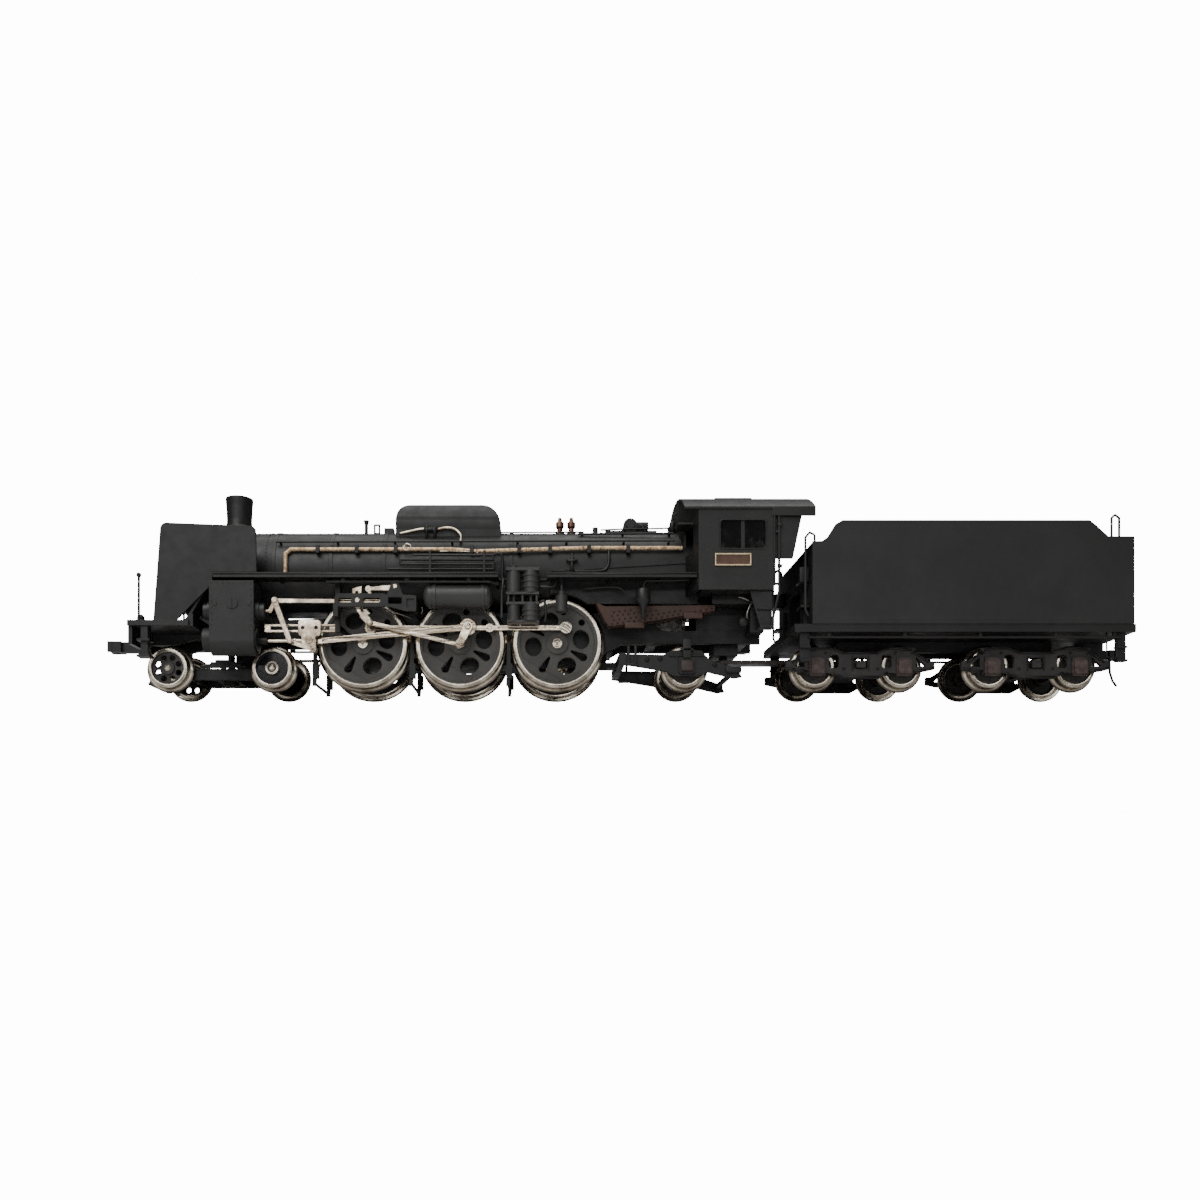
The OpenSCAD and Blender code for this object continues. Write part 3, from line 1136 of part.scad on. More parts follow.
main_frame();
keeper_plate();
cylinder_block();
slide_bars();
motion_brackets();
boiler_shell();
smokebox_front();
chimney();
dome_casing();
smoke_deflectors();
front_deck();
running_boards();
cab_shell();
number_plates();
backhead();
ash_pan();
air_reservoirs();
air_pumps();
boiler_pipes();
handrails();
boiler_fittings();
motor();
gearbox();
worm_shaft();
driver_wheels(0, 7.4, 11.32, 0);  // driver_wheels_1
driver_wheels(1, 6.0, 12.95, 0);  // driver_wheels_2
driver_wheels(2, 7.4, 11.7, 1.45);  // driver_wheels_3
return_cranks();
axle_gear();
side_rod(-1);  // side_rod_left
side_rod(1);  // side_rod_right
main_rod(-1);  // main_rod_left
main_rod(1);  // main_rod_right
eccentric_rod(-1);  // eccentric_rod_left
eccentric_rod(1);  // eccentric_rod_right
crosshead(-1);  // crosshead_left
crosshead(1);  // crosshead_right
expansion_link(-1);  // expansion_link_left
expansion_link(1);  // expansion_link_right
combination_lever(-1);  // combination_lever_left
combination_lever(1);  // combination_lever_right
radius_rod(-1);  // radius_rod_left
radius_rod(1);  // radius_rod_right
reversing_arm();
leading_bogie();
leading_wheels_1();
leading_wheels_2();
trailing_truck();
trailing_wheels();
drawbar();
tender_tank();
tender_frame();
tender_bogie(0);  // tender_bogie_1
tender_bogie(1);  // tender_bogie_2
tender_wheels(0);  // tender_wheels_1
tender_wheels(1);  // tender_wheels_2
tender_wheels(2);  // tender_wheels_3
tender_wheels(3);  // tender_wheels_4
coupler_front();
coupler_rear();
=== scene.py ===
"""Model steam locomotive with tender: materials, small fittings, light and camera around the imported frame.

Unless a name or comment says otherwise, lengths are in millimetres. They become metres where a mesh or a
node is made. Places on the engine are counted along x from the middle driving axle, those on the tender
from the front of its frame. Fittings are described on the left side, where y is negative."""
import bpy
import bmesh
import math
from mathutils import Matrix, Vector


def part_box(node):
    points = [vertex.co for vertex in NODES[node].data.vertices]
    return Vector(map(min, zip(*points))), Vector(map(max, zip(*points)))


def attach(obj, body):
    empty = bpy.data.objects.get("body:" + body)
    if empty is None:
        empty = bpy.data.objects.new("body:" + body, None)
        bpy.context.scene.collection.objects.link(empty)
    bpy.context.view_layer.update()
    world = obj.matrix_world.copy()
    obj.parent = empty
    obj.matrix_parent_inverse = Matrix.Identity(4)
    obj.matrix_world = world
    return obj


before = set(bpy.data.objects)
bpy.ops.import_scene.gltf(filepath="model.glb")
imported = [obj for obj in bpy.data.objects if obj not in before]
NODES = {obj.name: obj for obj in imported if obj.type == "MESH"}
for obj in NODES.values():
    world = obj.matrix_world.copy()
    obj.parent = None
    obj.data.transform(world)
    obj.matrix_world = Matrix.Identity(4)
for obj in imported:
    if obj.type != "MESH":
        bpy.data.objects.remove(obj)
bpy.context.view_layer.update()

MM = 0.001
LOCO = "locomotive"
TENDER = "tender"


def middle(node):
    """The middle of a node's box at rest."""
    low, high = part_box(node)
    return [round((a + b) / 2 / MM, 2) for a, b in zip(low, high)]


# ---- places taken from the frame -----------------------------------------------------------

DRIVERS = ("driver_wheels_1", "driver_wheels_2", "driver_wheels_3")
DRIVE_X, _, DRIVER_Z = middle(DRIVERS[1])
CARRYING_Z = middle("trailing_wheels")[2]
TRUCK_X = middle("trailing_wheels")[0]
TENDER_X = round(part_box("tender_frame")[0][0] / MM, 2)
TENDER_AXLES = [middle(f"tender_wheels_{k}")[0] for k in (1, 2, 3, 4)]

# ---- places on the engine and the tender, as the frame has them ----------------------------

CRANK_R = 4.125
CRANK_ANGLE = {"left": 60, "right": -30}
BOILER_Z = 30.7
BOILER_R = 10.5
BOILER_TOP = BOILER_Z + BOILER_R
CYLINDER_X = DRIVE_X - 53.7
CAB_X0 = DRIVE_X + 57.1
CAB_X1 = DRIVE_X + 74.9
TANK_X0 = TENDER_X + 4.2
TANK_X1 = TENDER_X + 80.6

# Distances from the centre line beyond which another finish starts on the same node
WHEEL_BACK = 7.2
CRANK_PIN_HEAD = 10.9
BOGIE_SIDE_FACE = 12.03
NUMBER_PLATE_FIELD = 17.83


# ---- shader helpers ------------------------------------------------------------------------

EVEN = (1, 1, 1)


def grey(level):
    """A colour with the same amount of red, green and blue."""
    return (level,) * 3


class Shader:
    """A material's node tree, with short names for the nodes that this scene needs."""

    def __init__(self, name, metallic=0.0, specular=0.4):
        self.mat = bpy.data.materials.new(name)
        self.mat.use_nodes = True
        self.tree = self.mat.node_tree
        self.bsdf = self.tree.nodes["Principled BSDF"]
        self.bsdf.inputs["Metallic"].default_value = metallic
        self.bsdf.inputs["Specular IOR Level"].default_value = specular
        self.coords = self.node("TexCoord").outputs["Object"]

    def node(self, kind):
        return self.tree.nodes.new("ShaderNode" + kind)

    def link(self, output, socket):
        self.tree.links.new(output, socket)

    def feed(self, socket, value):
        """Link a socket to an output, or set it to a number or a colour."""
        if isinstance(value, (int, float)):
            socket.default_value = value
        elif isinstance(value, tuple):
            socket.default_value = (*value, 1)
        else:
            self.link(value, socket)

    def noise(self, per_mm, detail, stretch=EVEN):
        """Cloudy noise, with per_mm cells to the millimetre."""
        mapping = self.node("Mapping")
        mapping.inputs["Scale"].default_value = stretch
        self.link(self.coords, mapping.inputs["Vector"])
        texture = self.node("TexNoise")
        texture.inputs["Scale"].default_value = per_mm / MM
        texture.inputs["Detail"].default_value = detail
        self.link(mapping.outputs["Vector"], texture.inputs["Vector"])
        return texture.outputs["Fac"]

    def ramp(self, value, *stops):
        """A colour for each value, from stops of (value, colour)."""
        node = self.node("ValToRGB")
        elements = node.color_ramp.elements
        node.color_ramp.interpolation = "EASE"
        while len(elements) < len(stops):
            elements.new(0.5)
        for element, (at, colour) in zip(elements, stops):
            element.position = at
            element.color = (*colour, 1)
        self.link(value, node.inputs["Fac"])
        return node.outputs["Color"]

    def mottle(self, per_mm, detail, *stops, stretch=EVEN):
        """Colours spread by noise."""
        return self.ramp(self.noise(per_mm, detail, stretch), *stops)

    def math(self, operation, *values):
        node = self.node("Math")
        node.operation = operation
        for socket, value in zip(node.inputs, values):
            self.feed(socket, value)
        return node.outputs[0]

    def mix(self, factor, at_0, at_1):
        """One colour where factor is 0 and another where it is 1."""
        node = self.node("Mix")
        node.data_type = "RGBA"
        self.link(factor, node.inputs["Factor"])
        self.feed(node.inputs[6], at_0)
        self.feed(node.inputs[7], at_1)
        return node.outputs[2]

    def axis(self, index):
        """The object's own x, y or z, in metres."""
        node = self.node("SeparateXYZ")
        self.link(self.coords, node.inputs[0])
        return node.outputs[index]

    def beyond(self, distance):
        """1 on both sides of the model beyond a distance from the centre line."""
        return self.math("GREATER_THAN", self.math("ABSOLUTE", self.axis(1)), distance * MM)

    def radius(self, x, z):
        """Distance from the line across the track through (x, z)."""
        dx = self.math("SUBTRACT", self.axis(0), x * MM)
        dz = self.math("SUBTRACT", self.axis(2), z * MM)
        square = self.math("ADD", self.math("MULTIPLY", dx, dx), self.math("MULTIPLY", dz, dz))
        return self.math("MULTIPLY", self.math("SQRT", square), 1 / MM)

    def crevice_shade(self, reach):
        """Painted shade from ambient occlusion: 0 in narrow gaps and inner corners, 1 on open surfaces."""
        node = self.node("AmbientOcclusion")
        node.samples = 8
        node.inputs["Distance"].default_value = reach * MM
        return self.ramp(node.outputs["AO"], (0.35, grey(0)), (0.85, grey(1)))

    def colour(self, value):
        self.link(value, self.bsdf.inputs["Base Color"])

    def metallic(self, value):
        self.link(value, self.bsdf.inputs["Metallic"])

    def roughness(self, value):
        self.link(value, self.bsdf.inputs["Roughness"])

    def bump(self, height, strength, distance, edge=0.12):
        """Fine relief on faces whose edges are rounded off by the radius edge."""
        rounded = self.node("Bevel")
        rounded.samples = 4
        rounded.inputs["Radius"].default_value = edge * MM
        relief = self.node("Bump")
        relief.inputs["Strength"].default_value = strength
        relief.inputs["Distance"].default_value = distance * MM
        self.link(height, relief.inputs["Height"])
        self.link(rounded.outputs["Normal"], relief.inputs["Normal"])
        self.link(relief.outputs["Normal"], self.bsdf.inputs["Normal"])


# ---- finishes ------------------------------------------------------------------------------

BLACK_DARK = (0.0085, 0.0085, 0.0083)
BLACK_LIGHT = (0.0155, 0.0152, 0.0148)
NICKEL_DARK = (0.33, 0.26, 0.19)
NICKEL_LIGHT = (0.86, 0.74, 0.58)
NICKEL_TARNISH = (0.36, 0.31, 0.25)
# Dark brown of the painted shade and grime in the gaps and corners of plated metal
SHADE_AND_GRIME = (0.16, 0.12, 0.09)
WHEEL_DISC = ((0.040, 0.0370, 0.0325), (0.064, 0.0600, 0.0540))
GLOSSY_DISC = ((0.006, 0.005, 0.007), (0.012, 0.010, 0.013))


def lacquer(name, dark, light, rough=0.42, grain=9.0, bump=0.25):
    """Satin sprayed paint over metal: fine orange peel, handling marks and slow colour drift."""
    look = Shader(name)
    look.colour(look.mottle(0.09, 5, (0.3, dark), (0.72, light)))
    look.roughness(look.mottle(0.35, 6, (0.25, grey(rough - 0.08)), (0.75, grey(rough + 0.1))))
    look.bump(look.noise(grain, 3), bump, 0.02)
    return look.mat


def plated(name, dark, light, rough, streak=EVEN, tarnish=None, facet=EVEN, waviness=3.0):
    """Plated metal with polishing streaks, a hand-finished waviness, corners darkened by painted shade and
    grime, and faint tarnish.
    """
    look = Shader(name, metallic=1.0)
    plating = look.mottle(0.5, 6, (0.38, dark), (0.6, light), stretch=streak)
    # Painted shade and grime: where ambient occlusion finds gaps and inner corners, the plating turns dark
    # brown
    plating = look.mix(look.crevice_shade(0.9), SHADE_AND_GRIME, plating)
    if tarnish:
        plating = look.mix(look.mottle(0.16, 5, (0.5, grey(0)), (0.72, grey(0.75))), plating, tarnish)
    look.colour(plating)
    look.roughness(look.mottle(1.4, 5, (0.3, grey(rough - 0.08)), (0.7, grey(rough + 0.08)), stretch=streak))
    waves = look.math("MULTIPLY", look.noise(0.9, 1, facet), waviness)
    look.bump(look.math("ADD", waves, look.noise(6.0, 3, streak)), 0.5, 0.02, edge=0.28)
    return look.mat


def lagging():
    """Brown-gold lagged pipe, wound and blotched."""
    look = Shader("lagging", metallic=0.35)
    look.colour(look.mottle(1.5, 8, (0.28, (0.20, 0.11, 0.06)), (0.42, (0.50, 0.34, 0.20)),
                            (0.58, (0.80, 0.58, 0.35))))
    look.roughness(look.mottle(2.0, 5, (0.2, grey(0.3)), (0.8, grey(0.55))))
    turn = 0.55
    winding = look.math("SINE", look.math("MULTIPLY", look.axis(0), 2 * math.pi / (turn * MM)))
    look.bump(look.math("ADD", look.math("MULTIPLY", winding, 0.3), look.noise(4.0, 5)), 0.5, 0.05)
    return look.mat


def glazing_with_painted_shade():
    """Near-black glass whose colour is painted shade standing in for the cab's dark inside, which it hides,
    with a faintly smeared surface.
    """
    look = Shader("glazing_with_painted_shade", specular=0.5)
    # Painted shade: the pane's near-black colour stands in for the shade inside the cab
    look.colour(look.mottle(0.2, 4, (0.3, (0.0022, 0.0024, 0.0024)), (0.7, (0.0045, 0.0048, 0.0048))))
    look.roughness(look.mottle(0.6, 5, (0.4, grey(0.04)), (0.8, grey(0.12))))
    return look.mat


def safety_valve_copper():
    """Black boiler fittings, with the two safety valves in aged copper."""
    look = Shader("boiler_fittings_finish", metallic=1.0)
    x = look.math("MULTIPLY", look.axis(0), 1 / MM)
    valves = look.math("MULTIPLY", look.math("GREATER_THAN", x, DRIVE_X + 23.2),
                       look.math("LESS_THAN", x, DRIVE_X + 29.0))
    copper = look.mottle(0.8, 6, (0.3, (0.10, 0.055, 0.038)), (0.75, (0.26, 0.15, 0.11)))
    dark = look.mottle(0.3, 5, (0.3, BLACK_DARK), (0.75, BLACK_LIGHT))
    look.colour(look.mix(valves, dark, copper))
    look.metallic(valves)
    look.roughness(look.mottle(1.0, 5, (0.2, grey(0.34)), (0.8, grey(0.5))))
    look.bump(look.noise(6.0, 3), 0.25, 0.02)
    return look.mat


def number_plate():
    """The blank number plate: brown field with a bright border that stands off it."""
    look = Shader("number_plate_finish", metallic=1.0)
    border = look.beyond(NUMBER_PLATE_FIELD)
    gilt = look.mottle(1.2, 5, (0.3, (0.62, 0.48, 0.28)), (0.75, (0.85, 0.72, 0.48)))
    field = look.mottle(0.6, 6, (0.3, (0.055, 0.026, 0.016)), (0.75, (0.095, 0.047, 0.028)))
    look.colour(look.mix(border, field, gilt))
    look.metallic(border)
    look.roughness(look.mottle(1.2, 5, (0.2, grey(0.3)), (0.8, grey(0.45))))
    look.bump(look.noise(5.0, 4), 0.3, 0.02)
    return look.mat


def bogie_casting(node, axles):
    """A cast bogie side with redder axlebox covers."""
    look = Shader(f"{node}_finish")
    front, rear = (look.math("LESS_THAN", look.radius(x, CARRYING_Z - 0.2), 2.3) for x in axles)
    cover = look.math("MULTIPLY", look.math("MAXIMUM", front, rear), look.beyond(BOGIE_SIDE_FACE))
    red = look.mottle(0.7, 6, (0.3, (0.045, 0.030, 0.026)), (0.75, (0.095, 0.066, 0.058)))
    body = look.mottle(0.25, 5, (0.3, (0.018, 0.016, 0.016)), (0.75, (0.038, 0.033, 0.032)))
    look.colour(look.mix(cover, body, red))
    look.roughness(look.mottle(1.0, 5, (0.2, grey(0.42)), (0.8, grey(0.6))))
    look.bump(look.noise(4.0, 5), 0.45, 0.03)
    return look.mat


def wheel_finish(node, rim, bright_rings, pins=(), disc=WHEEL_DISC, disc_rough=0.5):
    """A wheel seen from its side: dark disc, bright turned tyre, and bright rings and pins on the disc.

    rim is where the tyre starts, bright_rings is a list of (inner, outer) radii and pins a list of
    (x, z, side). The tread and the flange, which lie beyond the tyre's face, are worn darker."""
    look = Shader(f"{node.replace('_wheels', '')}_finish", metallic=1.0)
    x, _, z = middle(node)
    face_edge = z - 0.35
    r = look.radius(x, z)
    bright = look.mottle(0.25, 3, (0.4, (0.46, 0.40, 0.325)), (0.6, (0.78, 0.71, 0.59)))
    worn = look.mottle(0.5, 5, (0.25, (0.20, 0.165, 0.13)), (0.8, (0.36, 0.31, 0.255)))
    bright = look.mix(look.math("GREATER_THAN", r, face_edge), bright, worn)
    metal = look.math("GREATER_THAN", r, rim)
    for inner, outer in bright_rings:
        ring = look.math("MULTIPLY", look.math("GREATER_THAN", r, inner), look.math("LESS_THAN", r, outer))
        metal = look.math("MAXIMUM", metal, ring)
    for pin_x, pin_z, side in pins:
        out = look.math("MULTIPLY", look.axis(1), side)
        near = look.radius(pin_x, pin_z)
        for start, pin_r in ((WHEEL_BACK, 0.72), (CRANK_PIN_HEAD, 1.8)):
            pin = look.math("MULTIPLY", look.math("GREATER_THAN", out, start * MM),
                            look.math("LESS_THAN", near, pin_r))
            metal = look.math("MAXIMUM", metal, pin)
    look.colour(look.mix(metal, look.mottle(0.2, 5, (0.3, disc[0]), (0.75, disc[1])), bright))
    look.metallic(metal)
    cast = look.math("SUBTRACT", 1.0, look.math("MULTIPLY", metal, 0.9))
    cast = look.math("MULTIPLY", look.noise(7.0, 3), cast)
    groove_pitch = 1.3
    from_rim = look.math("SUBTRACT", r, rim)
    turned = look.math("SINE", look.math("MULTIPLY", from_rim, 2 * math.pi / groove_pitch))
    turned = look.math("MULTIPLY", turned, look.math("MULTIPLY", metal, 2.5))
    look.bump(look.math("ADD", cast, turned), 0.4, 0.02, edge=0.2)
    polish = look.mottle(0.5, 4, (0.2, grey(0.16)), (0.8, grey(0.27)))
    look.roughness(look.mix(metal, grey(disc_rough), polish))
    return look.mat


black = lacquer("satin_black", BLACK_DARK, BLACK_LIGHT)
charcoal = lacquer("charcoal", grey(0.0085), (0.0125, 0.0124, 0.0122), 0.52, bump=0.12)
tank_black = lacquer("tank_black", grey(0.0150), (0.0205, 0.0203, 0.0200), 0.52, bump=0.12)
vessel_black = lacquer("vessel_black", (0.029, 0.029, 0.0285), (0.043, 0.0425, 0.0415), 0.4)
frame_black = lacquer("frame_black", grey(0.007), (0.013, 0.0125, 0.0125), 0.5, 7.0, 0.35)
ash_brown = lacquer("ash_brown", (0.032, 0.015, 0.010), (0.060, 0.029, 0.020), 0.55, 5.0, 0.5)
rivet_brown = lacquer("rivet_brown", (0.012, 0.006, 0.005), (0.024, 0.012, 0.009), 0.5, 5.0, 0.4)
bar_brown = lacquer("bar_brown", (0.022, 0.016, 0.014), (0.050, 0.038, 0.034), 0.36, 5.0, 0.4)
box_brown = lacquer("box_brown", (0.024, 0.016, 0.013), (0.045, 0.031, 0.027), 0.5, 5.0, 0.5)
nickel = plated("nickel", NICKEL_DARK, NICKEL_LIGHT, 0.19, streak=(0.4, 1, 0.4), tarnish=NICKEL_TARNISH,
                facet=(0.5, 1, 0.5), waviness=5.0)
nickel_long = plated("nickel_long", NICKEL_DARK, NICKEL_LIGHT, 0.16, streak=(0.15, 1, 2.0),
                     facet=(0.06, 1, 0.9), waviness=12.0)
steel_dark = plated("steel_dark", (0.16, 0.15, 0.14), (0.30, 0.285, 0.26), 0.34)
brass = plated("brass", (0.55, 0.36, 0.16), (0.85, 0.64, 0.34), 0.28)


# ---- finishes on the frame's nodes ---------------------------------------------------------

def paint(mat, *nodes):
    """Give the frame's nodes a finish."""
    for node in nodes:
        for entry in NODES[node].material_slots:
            entry.material = mat


def both_sides(*nodes):
    """The names of the left and the right one of each node."""
    return [f"{node}_{side}" for node in nodes for side in ("left", "right")]


def crank_pin(axle_x, side):
    """Where a driving axle's crank pin is at rest, as (x, z)."""
    angle = math.radians(CRANK_ANGLE[side])
    return (axle_x + CRANK_R * math.cos(angle), DRIVER_Z + CRANK_R * math.sin(angle))


paint(black, "cylinder_block", "boiler_shell", "smokebox_front", "cab_shell", "running_boards", "front_deck",
      "handrails", "backhead", "chimney")
paint(vessel_black, "air_pumps", "air_reservoirs")
paint(charcoal, "smoke_deflectors", "dome_casing")
paint(tank_black, "tender_tank")
paint(frame_black, "main_frame", "keeper_plate", "motion_brackets", "leading_bogie", "trailing_truck",
      "tender_frame", "coupler_front", "coupler_rear")
paint(ash_brown, "ash_pan")
paint(lagging(), "boiler_pipes")
paint(nickel_long, "slide_bars", *both_sides("side_rod", "main_rod", "eccentric_rod"))
paint(nickel, "return_cranks", "reversing_arm",
      *both_sides("crosshead", "expansion_link", "combination_lever", "radius_rod"))
paint(steel_dark, "motor", "worm_shaft")
paint(bar_brown, "drawbar")
paint(brass, "axle_gear", "gearbox")
paint(safety_valve_copper(), "boiler_fittings")
paint(number_plate(), "number_plates")
paint(bogie_casting("tender_bogie_1", TENDER_AXLES[:2]), "tender_bogie_1")
paint(bogie_casting("tender_bogie_2", TENDER_AXLES[2:]), "tender_bogie_2")
for wheels in DRIVERS:
    axle_x = middle(wheels)[0]
    pins = [(*crank_pin(axle_x, "left"), -1), (*crank_pin(axle_x, "right"), 1)]
    paint(wheel_finish(wheels, 9.9, [(-1, 1.15)], pins), wheels)
paint(wheel_finish("leading_wheels_2", 4.0, [(-1, 0.75), (1.1, 1.6)], disc=GLOSSY_DISC, disc_rough=0.15),
      "leading_wheels_2")
for wheels in ("leading_wheels_1", "trailing_wheels", *(f"tender_wheels_{k}" for k in (1, 2, 3, 4))):
    paint(wheel_finish(wheels, 3.95, [(-1, 0.75)]), wheels)


# ---- geometry helpers ----------------------------------------------------------------------

def make_piece(name, shape, body, mat, smooth=True):
    """Turn a bmesh into a piece that rides on a body."""
    mesh = bpy.data.meshes.new(name)
    bmesh.ops.recalc_face_normals(shape, faces=shape.faces)
    shape.to_mesh(mesh)
    shape.free()
    if smooth:
        for polygon in mesh.polygons:
            polygon.use_smooth = True
    piece = bpy.data.objects.new(name, mesh)
    bpy.context.collection.objects.link(piece)
    mesh.materials.append(mat)
    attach(piece, body)


def spline(points, steps=6):
    """A smooth line through the points."""
    knots = [Vector(point) for point in points]
    if len(knots) < 3:
        return knots
    padded = [2 * knots[0] - knots[1]] + knots + [2 * knots[-1] - knots[-2]]
    line = []
    for i in range(1, len(padded) - 2):
        a, b, c, d = padded[i - 1:i + 3]
        for k in range(steps):
            t = k / steps
            line.append(0.5 * (2 * b + (c - a) * t + (2 * a - 5 * b + 4 * c - d) * t * t
                               + (3 * b - a - 3 * c + d) * t * t * t))
    return line + [knots[-1]]


def across(direction):
    """A unit vector square to a direction, level unless the direction is nearly upright."""
    reference = Vector((0, 0, 1)) if abs(direction.z) < 0.9 else Vector((1, 0, 0))
    return direction.cross(reference).normalized()


def add_ring(shape, centre, across_1, across_2, radius, sides):
    """The corners of a regular polygon around centre."""
    ring = []
    for k in range(sides):
        angle = 2 * math.pi * k / sides
        offset = (across_1 * math.cos(angle) + across_2 * math.sin(angle)) * radius
        ring.append(shape.verts.new((centre + offset) * MM))
    return ring


def add_skin(shape, rings):
    """Faces between neighbouring rings, where a ring may be a single point, and over open ends."""
    for a, b in zip(rings, rings[1:]):
        sides = max(len(a), len(b))
        for k in range(sides):
            after = (k + 1) % sides
            if len(a) == 1:
                shape.faces.new((a[0], b[after], b[k]))
            elif len(b) == 1:
                shape.faces.new((a[k], a[after], b[0]))
            else:
                shape.faces.new((a[k], a[after], b[after], b[k]))
    if len(rings[0]) > 1:
        shape.faces.new(rings[0][::-1])
    if len(rings[-1]) > 1:
        shape.faces.new(rings[-1])


def add_tube(shape, points, radius, sides=12):
    """A closed round tube along the points."""
    points = [Vector(point) for point in points]
    rings = []
    normal = None
    for i, point in enumerate(points):
        along = (points[min(i + 1, len(points) - 1)] - points[max(i - 1, 0)]).normalized()
        if normal is None:
            normal = across(along)
        else:
            normal = (normal - along * normal.dot(along)).normalized()
        rings.append(add_ring(shape, point, normal, along.cross(normal), radius, sides))
    add_skin(shape, rings)


def add_turned(shape, centre, axis, profile, sides=20):
    """A turned solid: profile is a list of (radius, distance along the axis)."""
    axis = Vector(axis).normalized()
    across_1 = across(axis)
    across_2 = axis.cross(across_1)
    rings = []
    for radius, distance in profile:
        point = Vector(centre) + axis * distance
        if radius > 0:
            rings.append(add_ring(shape, point, across_1, across_2, radius, sides))
        else:
            rings.append([shape.verts.new(point * MM)])
    add_skin(shape, rings)


def add_box(shape, low, high, bevel):
    """A box with rounded edges."""
    verts = bmesh.ops.create_cube(shape, size=1.0)["verts"]
    for vert in verts:
        vert.co = Vector(((low[i] + high[i]) / 2 + vert.co[i] * (high[i] - low[i])) * MM for i in range(3))
    edges = list({edge for vert in verts for edge in vert.link_edges})
    bmesh.ops.bevel(shape, geom=edges, offset=bevel * MM, segments=2, affect="EDGES", profile=0.6)


def mirrored(point):
    x, y, z = point
    return (x, -y, z)


def add_tubes(shape, points, radius, sides=12):
    """A tube on the left side and its mirror image on the right."""
    add_tube(shape, points, radius, sides)
    add_tube(shape, [mirrored(point) for point in points], radius, sides)


def add_turned_pair(shape, centre, axis, profile, sides=20):
    """A turned solid on the left side and its mirror image on the right."""
    add_turned(shape, centre, axis, profile, sides)
    add_turned(shape, mirrored(centre), mirrored(axis), profile, sides)


def add_boxes(shape, x, out, z, bevel):
    """A box on each side. x, out and z are (from, to), and out is counted from the centre line."""
    add_box(shape, (x[0], -out[1], z[0]), (x[1], -out[0], z[1]), bevel)
    add_box(shape, (x[0], out[0], z[0]), (x[1], out[1], z[1]), bevel)


def make_tubes(name, start_x, lines, radius, mat=black, body=LOCO, smooth=True):
    """A piece of round tubes along lines of points whose x is counted from start_x."""
    shape = bmesh.new()
    for line in lines:
        points = [(start_x + x, y, z) for x, y, z in line]
        add_tubes(shape, spline(points) if smooth else points, radius)
    make_piece(name, shape, body, mat)


def make_rivets(name, points, normal, mat=black, radius=0.15, both=True):
    """A piece of half-round rivet heads, whose flanks start a little under the surface."""
    shape = bmesh.new()
    dome = [(radius, -0.05), (radius, radius * 0.2), (radius * 0.8, radius * 0.6),
            (radius * 0.4, radius * 0.85), (0, radius * 0.95)]
    add = add_turned_pair if both else add_turned
    for point in points:
        add(shape, point, normal, dome, 8)
    make_piece(name, shape, LOCO, mat)


def row(start, end, pitch):
    """Points from start to end, about a pitch apart."""
    start, end = Vector(start), Vector(end)
    count = round((end - start).length / pitch)
    return [start + (end - start) * i / count for i in range(count + 1)]


def on_circle(count, centre, radius, half_step=False):
    """Points evenly round a circle that lies across the engine, around (x, y, z)."""
    x, y, z = centre
    points = []
    for k in range(count):
        angle = 2 * math.pi * (k + 0.5 * half_step) / count
        points.append((x, y + radius * math.cos(angle), z + radius * math.sin(angle)))
    return points


def on_boiler(points, out):
    """Points (x, z) on the boiler's left side, moved away from its axis by the amount out."""
    return [(x, -math.sqrt(BOILER_R ** 2 - (z - BOILER_Z) ** 2) - out, z) for x, z in points]


# ---- pieces on the engine ------------------------------------------------------------------

def add_dome_pipes():
    """The bright pipes and wires beside the dome, with the clack valves that they start from."""
    make_tubes("dome_pipes", DRIVE_X, [
        [(-15.3, -6.6, 39.6), (-13.0, -6.9, 40.0), (-10.3, -7.2, 40.5), (-8.7, -7.2, 40.6)],
        [(-5.8, -7.2, 40.5), (-3.7, -7.2, 40.9), (-1.6, -7.5, 40.5), (-0.1, -8.2, 38.9), (0.1, -8.95, 37.4),
         (0.0, -9.2, 36.7)]], 0.34, nickel)
    make_tubes("thin_lines", DRIVE_X, [
        on_boiler([(-5.1, 34.0), (-1.5, 34.0), (3.5, 33.8), (4.5, 33.4)], 1.0)], 0.16, nickel)
    make_tubes("curl_wire", DRIVE_X, [
        [(-14.1, -11.3, 34.9), (-12.9, -11.8, 35.6), (-11.7, -11.9, 34.9), (-12.7, -11.9, 34.0),
         (-13.7, -11.8, 34.4), (-13.1, -11.6, 35.3)]], 0.13, nickel)
    shape = bmesh.new()
    for x in (-8.5, -6.5):
        add_turned_pair(shape, (DRIVE_X + x, -7.2, 41.6), (0, 0, -1),
                        [(0, 0), (0.35, 0.05), (0.35, 0.9), (0.55, 1.0), (0.55, 1.5), (0.3, 1.7), (0.3, 3.4),
                         (0, 3.5)])
    add_turned_pair(shape, (DRIVE_X - 9.1, -7.2, 40.5), (1, 0, 0),
                    [(0, 0), (0.5, 0.05), (0.5, 3.3), (0, 3.35)])
    make_piece("clack_valves", shape, LOCO, black)


